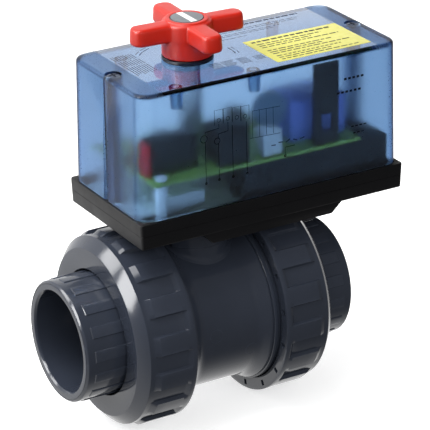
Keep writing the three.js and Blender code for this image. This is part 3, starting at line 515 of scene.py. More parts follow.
def neck(segments=128):
    """The foot of the bracket collar, flared where it meets the barrel and narrower along the pipe."""
    low, high = limits("mounting_adapter")
    radius, top = high[0], low[2] + 0.1
    narrow = NECK_HALF_X / radius
    inner_bottom = 30
    turns = [2 * math.pi * k / segments for k in range(segments)]

    def level(offset, height):
        r = radius + offset
        return [(narrow * r * math.cos(t), r * math.sin(t), height) for t in turns]

    rings = []
    for offset, rise in ((2.2, -1.2), (1.7, 0.0), (1.0, 0.35), (0.45, 0.9), (0.12, 1.6), (0, 2.4)):
        ring = level(offset, 0)
        rings.append([(x, y, min(top - 0.4, math.sqrt(BARREL_RADIUS ** 2 - y ** 2) + rise)) for x, y, _ in ring])
    rings += [level(0, top - 0.3), level(-0.1, top - 0.08), level(-0.3, top)]
    for z in (top, inner_bottom):
        rings.append([(STEM_BORE * math.cos(t), STEM_BORE * math.sin(t), z) for t in turns])
    rings.append(level(2, inner_bottom - 0.5))
    return loft(rings, loop=True)


def collar_piece(segments=192):
    """The bracket collar, hollowed underneath where it stands over the body's lips."""
    low, high = limits("mounting_adapter")
    radius, height, chamfer = high[0], high[2] - low[2], 0.3
    lips_from, lips_blend, lips_height = 16.6, 0.5, 2.7
    levels = [
        (SHAFT_BORE + chamfer, 0), (radius - chamfer, 0), (radius, chamfer), (radius, 1.2), (radius, 5.6),
        (radius, 6.0), (radius, height - chamfer), (radius - chamfer, height), (SHAFT_BORE + chamfer, height),
        (SHAFT_BORE, height - chamfer), (SHAFT_BORE, chamfer),
    ]
    rings = []
    for r, rise in levels:
        ring = []
        for k in range(segments):
            t = 2 * math.pi * k / segments
            x = math.cos(t) * r
            over_lips = min(1, max(0, (abs(x) - lips_from) / lips_blend))
            lift = lips_height * over_lips * (1 - rise / height)
            ring.append((x, r * math.sin(t), low[2] + rise + lift))
        rings.append(ring)
    return loft(rings, loop=True)


# One grip of a union nut: degrees from its start, share of the pad's height, share of the face pocket's depth
GRIP_COLUMNS = (
    (-0.6, 0.0, 0), (-0.35, 0.15, 0), (0.0, 0.85, 0), (0.3, 1.0, 0), (3.0, 1, 0), (5.6, 1, 0), (8.4, 1, 0),
    (10.95, 1.0, 0), (11.25, 0.85, 0), (11.6, 0.15, 0), (11.85, 0.0, 0), (12.9, 0, 0), (13.1, 0, 1),
    (15.6, 0, 1), (15.8, 0, 0), (17.6, 0, 0), (19.6, 0, 0), (21.2, 0, 0),
)


def union_nut(turn):
    """The right nut: grip pads with sloped ends, a plain bevel, and small pockets on the inner face.

    turn is where its first grip starts, in degrees.
    """
    low, high = limits("right_union_nut")
    inner, outer, rim = low[0], high[0], high[2]
    recess = rim - 1.7
    drop = rim - recess
    bore, hole, shoulder = 42.0, 31.5, 46.3
    bevel_start, face_radius = outer - 4.7, 41.9
    pocket_depth = 1.3
    # Rows of (x, radius, share of drop between the pads, share of drop on them, share of pocket depth)
    rows = [
        (inner + 1.0, bore, 0, 0, 0), (inner + 0.3, bore + 0.2, 0, 0, 0), (inner, bore + 0.9, 0, 0, 0),
        (inner, 44.2, 0, 0, 0), (inner, 44.4, 0, 0, 1), (inner, 46.8, 0, 0, 1), (inner, 47.0, 0, 0, 0),
        (inner, rim - 0.5, 0, 0, 0), (inner + 0.12, rim - 0.15, 0, 0, 0), (inner + 0.5, rim, 0, 0, 0),
        (27.4, rim, 0, 0, 0), (27.7, rim, 0.05, 0, 0), (29.4, rim, 0.9, 0, 0), (29.8, rim, 1, 0, 0),
        (34, rim, 1, 0, 0), (39, rim, 1, 0, 0), (44.2, rim, 1, 0, 0), (44.5, rim, 1, 0.05, 0),
        (46.9, rim, 1, 0.93, 0), (47.3, rim, 1, 1, 0), (bevel_start - 0.4, rim, 1, 1, 0),
    ]
    tail = rounded([
        (bevel_start - 0.4, recess), (bevel_start, recess), (outer, face_radius), (outer, hole),
        (shoulder, hole), (shoulder, bore), (inner + 1.0, bore),
    ], 0.5, closed=False)[1:-1]
    pitch = 360 / GRIP_COUNT
    columns = [(g * pitch + a + turn, pad, pocket) for g in range(GRIP_COUNT) for a, pad, pocket in GRIP_COLUMNS]
    rings = []
    for x, radius, between, on_pad, pocket_row in rows:
        ring = []
        for degrees, pad, pocket in columns:
            t = math.radians(degrees)
            r = radius - drop * (between + (on_pad - between) * pad)
            ring.append((x + pocket_depth * pocket_row * pocket, -r * math.sin(t), r * math.cos(t)))
        rings.append(ring)
    for x, r in tail:
        rings.append([(x, -r * math.sin(math.radians(a)), r * math.cos(math.radians(a))) for a, _, _ in columns])
    return loft(rings, loop=True)


# One panel of an end connector: degrees from its start and share of its height
PANEL_COLUMNS = (
    (0.0, 0.0), (0.5, 0.9), (0.9, 1), (3.5, 1), (7.7, 1), (10.4, 1), (10.8, 0.9), (11.25, 0.0),
    (14, 0), (17, 0), (20, 0),
)


def end_connector():
    """The right connector: a socket barrel with low grip panels and a ringed end face."""
    low, high = limits("right_end_connector")
    face, end = low[0], high[0]
    flange, barrel, socket, throat = high[2], 30.1, 25.1, PORT_RADIUS
    panel_height, socket_depth = 0.45, 31
    bottom = end - socket_depth
    head = rounded([
        (face, throat), (face, 34.2), (face + 2.7, 34.2), (face + 2.7, 37.8), (face, 37.8),
        (face, flange), (face + 6, flange), (face + 6, barrel), (60, barrel),
    ], 0.3, closed=False)[:-1]
    rows = [(face + 6.6, 1), (end - 5.0, 1), (end - 4.7, 0.9), (end - 4.4, 0.0), (end - 3, 0)]
    tail = rounded([
        (end - 3, barrel), (end - 0.9, barrel, 0.6), (end - 0.1, barrel - 0.9), (end, 29.1), (end - 0.35, 28.95),
        (end - 0.35, 28.6), (end, 28.45), (end, socket + 0.8, 0.25), (end - 1.1, socket), (bottom, socket, 0.8),
        (bottom, throat), (face, throat),
    ], 0.12, closed=False)[1:-1]
    pitch = 360 / GRIP_COUNT
    columns = [(math.radians(g * pitch + a), share) for g in range(GRIP_COUNT) for a, share in PANEL_COLUMNS]
    rings = [[(x, -r * math.sin(t), r * math.cos(t)) for t, _ in columns] for x, r in head]
    for x, height in rows:
        radii = [(t, barrel + panel_height * height * share) for t, share in columns]
        rings.append([(x, -r * math.sin(t), r * math.cos(t)) for t, r in radii])
    rings += [[(x, -r * math.sin(t), r * math.cos(t)) for t, _ in columns] for x, r in tail]
    return loft(rings, loop=True)


def ball_shape():
    """The ball, turned about its bore, which lies across the pipe."""
    radius, bore, steps = limits("ball")[1][2], 19.5, 48
    edge = math.sqrt(radius ** 2 - bore ** 2)
    start = math.atan2(bore, edge)
    profile = []
    for k in range(steps + 1):
        t = start + (math.pi - 2 * start) * k / steps
        profile.append((radius * math.cos(t), radius * math.sin(t)))
    profile += [(-edge + 0.4, bore), (edge - 0.4, bore)]
    points, faces = about_x(profile, 128)
    return [(-y, x, z) for x, y, z in points], faces


def add_valve():
    valve_body()
    mount(make("bracket_collar", collar_piece()), PVC, "housing", "pvc_grey", ["mounting_adapter"])
    for side, turned in (("right", False), ("left", True)):
        nut, connector = union_nut(LEFT_NUT_TURN if turned else RIGHT_NUT_TURN), end_connector()
        if turned:
            nut, connector = mirrored(nut), mirrored(connector)
        mount(make(f"{side}_grip_nut", nut), PVC, f"{side}_nut", "pvc_grey", [f"{side}_union_nut"])
        piece = make(f"{side}_socket_connector", connector)
        mount(piece, PVC, f"{side}_end", "pvc_grey", [f"{side}_end_connector"])
    mount(make("polished_ball", ball_shape()), PVC, "drive", "pvc_grey", ["ball"])


# ---------- actuator case ----------

def case_ring(center_x, half_x, half_y, corner, z, inset, steps=8):
    """A level ring of a case wall, moved in by inset."""
    return rounded_rectangle(center_x, half_x - inset, half_y - inset, max(0.4, corner - inset), z, steps)


def actuator_base():
    """The tray, with the gearbox bulge and the round hub under it."""
    center, half_x, half_y, under, top = case_sizes("actuator_base")
    bottom, floor = under + 5.1, TRAY_FLOOR
    levels = [
        (bottom, 1.3), (bottom + 0.08, 0.9), (bottom + 0.35, 0.62), (bottom + 0.8, 0.5), (60.95, 0.25),
        (61.05, 0.4), (61.2, 0.4), (61.3, 0.24), (top - 0.8, 0.0), (top - 0.25, 0.1), (top - 0.05, 0.3),
        (top, 0.6), (top, 2.9), (top - 0.1, 3.1), (top - 0.4, 3.2),
        (floor + 0.6, 3.2), (floor + 0.15, 3.4), (floor, 3.9),
    ]
    tray = make("actuator_tray", loft([case_ring(center, half_x, half_y, 1.8, z, inset) for z, inset in levels]))
    bulge_y, hub_radius, screw_boss, screw_bore, gland_bore = 35.3, 19.7, 4.4, 2.2, 8.2
    outline = rounded([(-14, bottom + 1.5), (-8, under, 1.2), (59, under, 1.2), (66, bottom + 1.5)], 0)
    rings = []
    for y, inset in ((-bulge_y, 0.5), (-bulge_y + 0.15, 0.15), (-bulge_y + 0.5, 0)):
        rings.append([(x, y, z + inset * (z < bottom + 1)) for x, z in outline])
    rings += [[(x, -y, z) for x, y, z in ring] for ring in reversed(rings)]
    combine(tray, make("bulge", loft(rings)), "UNION")
    combine(tray, make("hub", post(hub_radius, under, floor - 1, 96)), "UNION")
    for node in ("left_cover_screw", "right_cover_screw"):
        place = (limits(node)[0][0] + 3.7, 0)
        combine(tray, make("boss", post(screw_boss, floor - 1, top - 0.05, 40, place)), "UNION")
        combine(tray, make("hole", post(screw_bore, 59, 70, 24, place)), "DIFFERENCE")
    combine(tray, make("bore", post(SHAFT_BORE, 40, 70, 64)), "DIFFERENCE")
    gland_hole = post(gland_bore, 50, 60, 40, middle("cable_gland"))
    combine(tray, make("gland_hole", gland_hole), "DIFFERENCE")
    pocket = make("pocket", brick((21, -31, under + 2.6), (55, 31, 60), 0.5))
    combine(tray, pocket, "DIFFERENCE")
    mount(tray, BLACK, "housing", "black_plastic", ["actuator_base"])


def cover_lean(z):
    """How far the cover's walls lean in at a height."""
    return COVER_DRAFT * (z - COVER_BOTTOM) / (COVER_TOP - COVER_BOTTOM)


def on_cover_front(u, v, height):
    """A point on the front wall of the cover, at x = u and z = v."""
    return (u, -(COVER_HALF_Y - cover_lean(v)) - height, v)


def on_cover_top(u, v, height):
    """A point on the top of the cover, at x = u and y = v."""
    return (u, v, COVER_TOP + height)


def cover():
    """The clear cover: drafted walls, a thin roof, screw columns and the hole for the knob's collar."""
    center, half_x, half_y, bottom, top = COVER_CENTER, COVER_HALF_X, COVER_HALF_Y, COVER_BOTTOM, COVER_TOP
    edge, edge_steps, roof, smooth = 1.8, 6, top - 2.6, 25

    def level(z, inset):
        return case_ring(center, half_x, half_y, COVER_CORNER, z, inset + cover_lean(z), 12)

    wall = COVER_WALL
    inside = (
        (roof, wall + 1.6), (roof - 0.12, wall + 0.7), (roof - 0.45, wall + 0.2), (roof - 1.2, wall),
        (bottom + 0.2, wall), (bottom, wall - 0.2), (bottom, 0.2), (bottom + 0.2, 0),
    )
    rings = [level(z, inset) for z, inset in inside]
    for k in range(edge_steps + 1):
        t = math.pi / 2 * k / edge_steps
        rings.append(level(top - edge + edge * math.sin(t), edge * (1 - math.cos(t))))
    shell = make("cover_shell", loft(rings), smooth)
    column, collar_hole, screw_hole, head_hole, notch = 4.3, 8.3, 2.2, 4, 2.6
    columns, holes = [], [post(collar_hole, roof - 1, top + 1, 64)]
    for node in ("left_cover_screw", "right_cover_screw"):
        x = middle(node)[0]
        wall_x = center + (half_x + 1.5) * (-1 if x < center else 1)
        columns.append(post(column, bottom + 0.6, roof + 1, 32, (x, 0)))
        seat = top - 2.8
        stepped = [(screw_hole, bottom - 1), (screw_hole, seat), (head_hole, seat), (head_hole, top + 1)]
        holes.append(about_z(stepped, 40, (x, 0), loop=False))
        holes.append(post(notch, bottom - 1, top + 1, 40, (wall_x, 0)))
    combine(shell, make("columns", merge(*columns)), "UNION", smooth)
    combine(shell, make("holes", merge(*holes)), "DIFFERENCE", smooth)
    mount(shell, COVER, "housing", "cover_blue", ["cover"])
    stud_end = roof - 9
    profile = rounded([(3.2, roof - 0.05), (2.7, stud_end), (1.6, stud_end), (1.6, roof - 0.05)], 0.3)
    studs = [about_z(profile, 32, place) for place in ((-25, 20), (-22, -27), (20, -27), (62, 24))]
    mount(make("cover_studs", merge(*studs)), COVER, "housing", "cover_blue")


def cover_screw(node, name):
    """A pan head screw with a cross recess."""
    low, high = limits(node)
    x, top = middle(node)[0], high[2]
    thread, head, under_head = 1.9, 3.7, top - 2.1
    profile = [
        (thread, low[2]), (thread, under_head), (head, under_head), (head, top - 1.0), (head - 0.4, top - 0.35),
        (2.2, top - 0.05), (1.2, top),
    ]
    screw = make(name, about_z(profile, 48, (x, 0), loop=False))
    for half_x, half_y in ((2.3, 0.45), (0.45, 2.3)):
        slot = make("slot", brick((x - half_x, -half_y, top - 1.2), (x + half_x, half_y, top + 1), 0.1))
        combine(screw, slot, "DIFFERENCE")
    mount(screw, DARK_STEEL, "housing", "steel", [node])


def hexagon(center, corner, bottom, top, segments=48):
    """A chamfered hexagon whose corners are at a given radius."""
    cx, cy = center
    rings = []
    for z, shrink in ((bottom, 0.6), (bottom + 0.4, 0), (top - 0.4, 0), (top, 0.6)):
        ring = []
        for k in range(segments):
            t = 2 * math.pi * k / segments
            flat = corner * math.cos(math.pi / 6) / math.cos((t % (math.pi / 3)) - math.pi / 6)
            r = min(flat, corner - shrink)
            ring.append((cx + r * math.cos(t), cy + r * math.sin(t), z))
        rings.append(ring)
    return loft(rings)


def gland():
    """The cable gland: grooved dome nut, two hexagons and a plain sleeve."""
    low, high = limits("cable_gland")
    end = low[2]
    center = middle("cable_gland")
    segments, groove_pitch, groove_depth, grip_from = 96, 6, 0.5, 7.5
    nuts = [hexagon(center, 10.8, end + 10.2, end + 17.9), hexagon(center, 8.2, end + 18.2, end + 19.6)]
    cable_hole, dome_top = 4.1, end + 10.4
    outline = [(cable_hole, end), (6.4, end), (8.9, end + 3.2), (8.9, dome_top), (cable_hole, dome_top)]
    dome = []
    for r, z in rounded(outline, 0.5):
        ring = []
        for k in range(segments):
            t = 2 * math.pi * k / segments
            own = r - (groove_depth if r > grip_from and k % groove_pitch in (0, 1) else 0)
            ring.append((center[0] + own * math.cos(t), center[1] + own * math.sin(t), z))
        dome.append(ring)
    sleeve = about_z(rounded([(5, end + 10), (7.9, end + 10), (7.9, high[2]), (5, high[2])], 0.3), 64, center)
    shape = merge(*nuts, loft(dome, loop=True), sleeve)
    mount(make("gland_body", shape), BLACK, "housing", "black_plastic", ["cable_gland"])


def add_case():
    actuator_base()
    cover()
    cover_screw("left_cover_screw", "left_cross_screw")
    cover_screw("right_cover_screw", "right_cross_screw")
    gland()


# ---------- prints and label on the cover ----------

PRINT_LIFT, LABEL_LIFT = 0.03, 0.16


def dashes(start, end, row, shortest, gap, mix, spread):
    """Starts and ends of one row's dashes, whose lengths vary as those of words do."""
    x = start
    while x < end:
        length = shortest + ((x * mix[0] + row * mix[1]) % spread)
        yield x, min(x + length, end)
        x += length + gap


def wiring_print():
    """Made-up wiring scheme on the front wall: two circles, four terminals under brackets and their leads."""
    lines = []
    wire, thin, bold = 0.32, 0.2, 0.45

    def draw(points, width):
        lines.append(strip(points, width, PRINT_LIFT, on_cover_front))

    for center, radius in (((-11.7, 103), 1.8), ((-4.6, 100.6), 1.5)):
        draw(circle(center, radius), wire)
    for x, z in ((-3.5, 110.7), (1.4, 110.7), (6.3, 110.2), (10.7, 109.8)):
        draw(circle((x, z), 0.95, 16), 0.26)
        draw([(x - 2.3, z - 2), (x - 2.3, z + 5.2), (x + 2.3, z + 5.2), (x + 2.3, z - 2)], 0.22)
    for x, top, bottom in ((-11, 101.2, 80.6), (-3.9, 99.1, 81.1), (3.7, 107, 80.9), (11.4, 107, 81.0)):
        draw([(x, bottom), (x, top)], wire)
        draw(circle((x, bottom), 0.45, 12), 0.5)
    draw([(-11, 104.8), (-11, 106.2), (-3.5, 106.8), (-3.5, 109)], wire)
    draw([(-3.9, 102.1), (-3.9, 104), (1.4, 104.6), (1.4, 109)], wire)
    for x in (14.8, 18.6, 22.4, 26.2):
        draw([(x, 98), (x, 111.5)], thin)
    draw([(14.8, 111.5), (30, 110.9)], thin)
    draw([(13.4, 98), (30, 97.4)], thin)
    for k in range(5):
        draw([(25 + 4 * k, 92 + 0.7 * (k % 2)), (27.4 + 4 * k, 91.8 + 0.7 * (k % 3))], bold)
    draw(circle((32.6, 85.2), 0.5, 12), 0.6)
    draw([(32.6, 85.2), (32.6, 89.5), (38, 89.5)], wire)
    pitch, dash = 2.4, 1.5
    rows = ((117, 66, 78, 1.1), (110.5, 62, 78, 1.1), (92, 70, 80, 0.5), (88.5, 71, 79, 0.5))
    for z, start, end, width in rows:
        for k in range(int((end - start) / pitch)):
            x = start + pitch * k
            draw([(x, z), (x + dash, z)], width)
    mount(make("wiring_print", merge(*lines)), INK, "housing")


def top_print():
    """Rows of dashes on the top of the cover, and short arcs round the knob."""
    lines = []
    fine = 0.4

    def draw(points, width=fine):
        lines.append(strip(points, width, PRINT_LIFT, on_cover_top))

    for k in range(9):
        x = -31 + 1.35 * k
        for start, end in ((-8 + (k % 3), 4), (5, 12 + (k % 2)), (13.6, 20)):
            draw([(x, start), (x, end)])
    for k in range(6):
        y = -20 + 1.3 * k
        for start, end in ((3, 9), (9.8, 15 + (k % 3)), (18.4, 24)):
            draw([(start, y), (end, y)])
    for k in range(4):
        draw([(27, -19 + 1.4 * k), (32, -19 + 1.4 * k)], 0.5)
    for start, end in ((112, 124), (126, 138), (-16, -6), (-4, 6)):
        draw(arc((0, 0), 23.5, start, end, 10), 0.5)
        draw(arc((0, 0), 25.4, start + 1, end - 1, 10), 0.35)
    rows = (
        (27, 30, 78, 1.4), (22.5, 25, 76, fine), (20.6, 25, 74, fine),
        (17.6, 25, 62, fine), (15.8, 25, 58, fine), (12.4, 25, 40, fine),
    )
    for row, (y, start, end, width) in enumerate(rows):
        for left, right in dashes(start, end, row, 1.5, 0.8, (7, 3), 3):
            draw([(left, y), (right, y)], width)
    mount(make("top_print", merge(*lines)), PALE_INK, "housing")


def label():
    """The yellow label and its rows of dashes, of which the first is a heading."""
    film = brick((33, -28.2, COVER_TOP - 0.02), (85.6, 4.6, COVER_TOP + 0.1), 0.04)
    mount(make("yellow_label", film), LABEL, "housing")
    lines = []
    for row, y in enumerate((1.2, -2.4, -4.9, -7.4, -12.2, -14.7, -17.2, -20.6, -23.1, -25.6)):
        start, width = (37, 0.8) if row else (36, 1.5)
        end = 80 - 7 * (row % 3)
        for left, right in dashes(start, end, row, 1.6, 0.9, (5, 2), 2.6):
            lines.append(strip([(left, y), (right, y)], width, LABEL_LIFT, on_cover_top))
    mount(make("label_dashes", merge(*lines)), INK, "housing")


def add_prints():
    wiring_print()
    top_print()
    label()


# ---------- knob and indicator ----------

KNOB_SAMPLES = 384
ARM_END = 0.75  # length of an arm's rounded end, as a share of the arm's half width
END_SHAPE = 2.6  # how square the rounded end is


def knob_ring(half, reach, hub, z, share=1.0, circle=None):
    """A ring of the cross-shaped knob. With share below 1 it moves towards a circle of the given radius."""
    ring = []
    end = ARM_END * half
    straight = reach - end
    blend = 1.6
    for k in range(KNOB_SAMPLES):
        t = 2 * math.pi * k / KNOB_SAMPLES
        off = (t + math.pi / 4) % (math.pi / 2) - math.pi / 4
        arm = half / max(1e-6, abs(math.sin(off)))
        if arm * math.cos(off) > straight:
            across = min(1, abs(math.sin(off)) * straight / half)
            arm = min(arm, straight * math.cos(off) + end * math.sqrt(1 - across ** END_SHAPE))
        near = max(0, blend - abs(arm - hub)) / blend
        r = max(arm, hub) + near * near * blend * 0.25
        if circle is not None:
            r = circle + (r - circle) * share
        ring.append((r * math.cos(t + KNOB_TURN), r * math.sin(t + KNOB_TURN), z))
    return ring


def hand_knob():
    """The four-armed knob, from its bore up round the outside and down into the indicator's seat."""
    low, high = limits("hand_knob")
    top, bottom = high[2], low[2]
    half, reach, hub, bore, disc_seat = 5.3, 29.3, 12.3, 6.3, 8.2
    arm_bottom, arm_top = top - 9.4, top - 0.9
    rings = []
    foot = ((bore, 0), (hub - 0.7, 0), (hub - 0.2, 0.2), (hub, 0.7), (hub, 3))
    for r, rise in foot:
        rings.append(knob_ring(half, reach, hub, bottom + rise, 0, r))
    for share, drop in ((0.0, 2.6), (0.03, 1.5), (0.1, 0.85), (0.22, 0.4), (0.4, 0.12), (0.6, 0.0)):
        rings.append(knob_ring(half - 0.6, reach - 1, hub, arm_bottom - drop + 0.3, share, hub))
    for inset, rise in ((1.4, 0.0), (0.75, 0.18), (0.3, 0.55), (0.05, 1.2), (0.0, 2.0)):
        rings.append(knob_ring(half - inset, reach - inset, hub, arm_bottom + rise))
    for inset, drop in ((0.25, 1.9), (0.4, 1.2), (0.7, 0.6), (1.1, 0.22), (1.55, 0.05), (2.0, 0.0)):
        rings.append(knob_ring(half - inset, reach - inset, hub - 0.1 - inset * 0.5, arm_top - drop))
    for share in (0.75, 0.5, 0.25, 0.1):
        rings.append(knob_ring(half - 2.0, reach - 2.0, hub - 1.1, arm_top + 0.3 * (1 - share), share, 10.7))
    crown = (
        (10.6, top - 0.55), (10.4, top - 0.15), (10.1, top + 0.05), (9.7, top + 0.15), (8.5, top + 0.15),
        (disc_seat, top), (disc_seat, top - 1.3), (bore, top - 1.3), (bore, top - 4),
    )
    for r, z in crown:
        rings.append(knob_ring(half, reach, hub, z, 0, r))
    return loft(rings, loop=True)


def add_knob():
    mount(make("four_arm_knob", hand_knob(), 40), RED, "drive", "knob_red", ["hand_knob"])
    low, high = limits("indicator_disc")
    radius, top = high[0], high[2]
    disc = about_z([(radius, low[2]), (radius, top), (radius - 0.25, top + 0.02)], 96, loop=False)
    mount(make("indicator_plate", disc), DISC_GREY, "drive", "indicator_grey", ["indicator_disc"])
    half = 1.6
    length = math.sqrt(radius ** 2 - half ** 2) - 0.25
    stripe = brick((-half, -length, top - 0.2), (half, length, top + 0.08), 0.05)
    mount(make("indicator_stripe", stripe), WHITE, "drive")
    low, high = limits("knob_collar")
    bore, outer = 6.4, high[0]
    collar = rounded([(bore, low[2]), (outer, low[2]), (outer, high[2]), (bore, high[2])], 0.4)
    mount(make("collar_ring", about_z(collar)), COLLAR, "housing", "rubber", ["knob_collar"])


# ---------- electronics ----------

def insulating_sheet():
    """White sheet on the floor of the tray, round the shaft and the board's posts."""
    bottom, top = TRAY_FLOOR + 0.05, TRAY_FLOOR + 0.4
    sheet = make("tray_insulating_sheet", brick((-35, -31, bottom), (11.5, 31, top), 0.1))
    holes = [post(SHAFT_BORE + 0.6, bottom - 1, bottom + 1, 64)]
    for side in ("front", "rear"):
        holes.append(post(3.4, bottom - 1, bottom + 1, 32, middle(f"{side}_board_standoff")))
    combine(sheet, make("sheet_holes", merge(*holes)), "DIFFERENCE")
    mount(sheet, WHITE, "housing")


# Large parts on the board: CAD node, piece, finish, slot and radius of the edges
BOARD_BLOCKS = (
    ("closing_relay", "closing_relay_case", CHIP, "board_black", 0.8),
    ("opening_relay", "opening_relay_case", CHIP, "board_black", 0.8),
    ("filter_capacitor", "film_capacitor", EPOXY, "red_epoxy", 1.0),
    ("terminal_block", "terminal_housing", WHITE, "white_plastic", 0.5),
    ("supply_transformer", "potted_transformer", BLUE, "blue_plastic", 0.9),
)


def board_blocks():
    for node, name, finish, slot, radius in BOARD_BLOCKS:
        low, high = limits(node)
        shape = [brick(low, high, radius)]
        if node == "terminal_block":
            for k in range(3):
                screw = (low[0] + 2.1 + 3.2 * k, low[1] + 3)
                shape.append(post(1.2, high[2] - 0.1, high[2] + 0.3, 20, screw))
        if node == "supply_transformer":
            rim = 4
            core_low = (low[0] + rim, low[1] + rim, high[2] - 0.5)
            shape.append(brick(core_low, (high[0] - rim, high[1] - rim, high[2] + 0.6), 0.5))
        mount(make(name, merge(*shape)), finish, "housing", slot, [node])


def laid_down(shape, place):
    """A shape made about the vertical axis, laid along X at a place."""
    points, faces = shape
    return [(place[0] + z, place[1] + x, place[2] + y) for x, y, z in points], faces


def small_parts():
    """Resistors, chips and capacitor cans on the board, with their leads, pins and tracks."""
    deck = limits("circuit_board")[1][2]
    resistors, chips, cans, metal = [], [], [], []
    lead, lead_reach = 0.3, 5
    places = (
        (-28, 3), (-28, 8), (-20, 12), (-12, 22), (20, 22), (26, 22), (32, 22), (22, 12), (38, 14), (38, 20),
    )
    for x, y in places:
        place = (x, y, deck + 1.15)
        resistors.append(laid_down(post(1.0, -3, 3, 16), place))
        metal.append(laid_down(post(lead, -lead_reach, lead_reach, 8), place))
        for end in (-lead_reach, lead_reach):
            metal.append(post(lead, deck - 0.3, deck + 1.3, 8, (x + end, y)))
    pin = 0.3
    chip_sizes = ((-24, -2, 8, 5, 3), (50, 16, 14, 7, 3.4), (68, 18, 9, 8, 5), (2, 16, 10, 6, 3))
    for x, y, width, depth, height in chip_sizes:
        left, right, front, back = x - width / 2, x + width / 2, y - depth / 2, y + depth / 2
        chips.append(brick((left, front, deck + 0.4), (right, back, deck + height), 0.3))
        for k in range(int(width / 2)):
            for side in (-1, 1):
                px, py = left + 1 + 2 * k, y + side * (depth / 2 + 0.2)
                metal.append(brick((px - pin, py - pin, deck - 0.1), (px + pin, py + pin, deck + 1.4), 0.1))
    for x, y, radius, height in ((-14, 2, 4, 12), (27, 4, 5, 15), (60, 24, 3.2, 9)):
        top = deck + height
        can = rounded([(radius, deck + 0.1), (radius, top), (radius - 0.5, top + 0.1)], 0.4, closed=False)
        cans.append(about_z(can, 40, (x, y), loop=False))
    for k in range(9):
        x, y = -20 + 9 * k, -29 + 1.1 * (k % 4)
        metal.append(brick((x, y, deck - 0.05), (x + 7, y + 0.5, deck + 0.08), 0.03))
    mount(make("board_resistors", merge(*resistors)), GEAR, "housing")
    mount(make("board_chips", merge(*chips)), CHIP, "housing")
    mount(make("board_capacitor_cans", merge(*cans)), CHIP, "housing")
    mount(make("board_leads_and_tracks", merge(*metal)), COPPER, "housing")


def add_electronics():
    insulating_sheet()
    board_blocks()
    small_parts()


# ---------- CAD nodes shown as they are ----------

EDGE_WIDTH, EDGE_ANGLE = 0.15, math.radians(50)
FINISHED_NODES = (
    (PVC, "valve_stem seat_carrier"),
    (RUBBER, "lower_stem_oring upper_stem_oring left_end_oring right_end_oring"),
    (RUBBER, "left_seat_oring right_seat_oring cover_gasket"),
    (FLUOROPOLYMER, "left_ball_seat right_ball_seat"),
    (STEEL, "output_shaft gear_axle_1 gear_axle_2 motor closed_switch_lever open_switch_lever"),
    (GEAR, "lower_shaft_bush upper_shaft_bush output_gear intermediate_gear_1 intermediate_gear_2 motor_pinion"),
    (BLACK, "gearbox_housing"),
    (WHITE, "closed_cam open_cam switch_bracket closed_limit_switch open_limit_switch"),
    (WHITE, "front_board_standoff rear_board_standoff front_board_screw rear_board_screw"),
    (BOARD, "circuit_board"),
    (DISC_GREEN, "surge_varistor"),
    (CHIP, "terminal_guard adapter_screw_1 adapter_screw_2 adapter_screw_3 adapter_screw_4"),
)
FINISHES = {name: finish for finish, names in FINISHED_NODES for name in names.split()}


def dress_cad_nodes():
    """Carried-over CAD nodes get their finish and softened edges."""
    for name, obj in NODES.items():
        if obj.hide_render:
            continue
        obj.data.materials.clear()
        obj.data.materials.append(FINISHES[name])
        bevel = obj.modifiers.new("edges", "BEVEL")
        bevel.width = EDGE_WIDTH * MM
        bevel.segments = 2
        bevel.limit_method = "ANGLE"
        bevel.angle_limit = EDGE_ANGLE


# ---------- studio ----------

FLOOR_HALF, FLOOR_GAP = 6.0, 0.0002  # metres
FLOOR_GLOW = 0.62
BRIGHT_SIDE = (-0.32, 0.86, -0.4)
BRIGHT_SPAN, BRIGHT_LEVELS = (-0.35, 0.55), (0.12, 1.1)


def add_floor():
    """Pale floor under the nuts. It glows a little, and is left out of diffuse and glossy reflections."""
    z = limits("right_union_nut")[0][2] * MM - FLOOR_GAP
    mesh = bpy.data.meshes.new("studio_floor")
    size = FLOOR_HALF
    mesh.from_pydata([(-size, -size, z), (size, -size, z), (size, size, z), (-size, size, z)], [], [(0, 1, 2, 3)])
    n = Nodes("pale_floor")
    pale = n.blend(n.spread(n.noise(9, 2), 0, 1), (0.86, 0.86, 0.86, 1), (0.88, 0.88, 0.88, 1))
    n.shade(Base_Color=pale, Roughness=n.spread(n.noise(30, 2), 0.7, 0.8))
    n.shade(Emission_Color=(1, 1, 1, 1), Emission_Strength=FLOOR_GLOW)
    mesh.materials.append(n.material)
    floor = bpy.data.objects.new("studio_floor", mesh)
    bpy.context.scene.collection.objects.link(floor)
    floor.visible_diffuse = False
    floor.visible_glossy = False


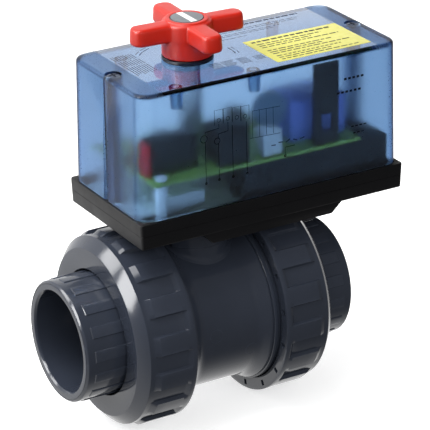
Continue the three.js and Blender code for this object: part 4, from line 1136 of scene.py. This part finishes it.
def add_light(name, direction, distance, size, power, target=(20, 0, 40)):
    """A rectangular light, at a distance in metres from the target in the given direction."""
    data = bpy.data.lights.new(name, "AREA")
    data.shape = "RECTANGLE"
    data.size, data.size_y = size
    data.energy = power
    light = bpy.data.objects.new(name, data)
    bpy.context.scene.collection.objects.link(light)
    aim = Vector(direction).normalized()
    light.location = Vector(target) * MM + aim * distance
    light.rotation_mode = "QUATERNION"
    light.rotation_quaternion = aim.to_track_quat("Z", "Y")
    return light


def add_lights():
    """Soft boxes. The window doesn't light matt surfaces, and the fills aren't reflected."""
    window = add_light("left_window", (-0.88, -0.02, 0.47), 0.9, (0.36, 0.5), 8.5)
    window.visible_diffuse = False
    add_light("back_left_softbox", (-0.68, 0.45, 0.58), 1.0, (0.4, 0.4), 5)
    add_light("top_softbox", (-0.3, 0.1, 0.95), 1.0, (0.6, 0.5), 6)
    for name, direction, power in (("front_fill", (-0.1, -0.9, 0.4), 9), ("left_fill", (-0.6, -0.3, 0.75), 7)):
        fill = add_light(name, direction, 1.4, (1.2, 0.9), power)
        fill.visible_glossy = False


def add_world():
    """Grey surroundings, brightest low down behind the object and to its left."""
    world = bpy.data.worlds.new("studio")
    world.use_nodes = True
    tree = world.node_tree
    background = tree.nodes["Background"]
    where = tree.nodes.new("ShaderNodeTexCoord").outputs["Generated"]
    facing = tree.nodes.new("ShaderNodeVectorMath")
    facing.operation = "DOT_PRODUCT"
    tree.links.new(where, facing.inputs[0])
    facing.inputs[1].default_value = BRIGHT_SIDE
    level = tree.nodes.new("ShaderNodeMapRange")
    level.interpolation_type = "SMOOTHSTEP"
    tree.links.new(facing.outputs["Value"], level.inputs["Value"])
    for index, number in enumerate((*BRIGHT_SPAN, *BRIGHT_LEVELS), start=1):
        level.inputs[index].default_value = number
    background.inputs["Color"].default_value = (1, 1, 1, 1)
    tree.links.new(level.outputs["Result"], background.inputs["Strength"])
    scene = bpy.context.scene
    scene.world = world
    scene.view_settings.view_transform = "Standard"
    scene.cycles.use_denoising = True


add_camera()
add_valve()
add_case()
add_knob()
add_electronics()
add_prints()
dress_cad_nodes()
add_floor()
add_lights()
add_world()
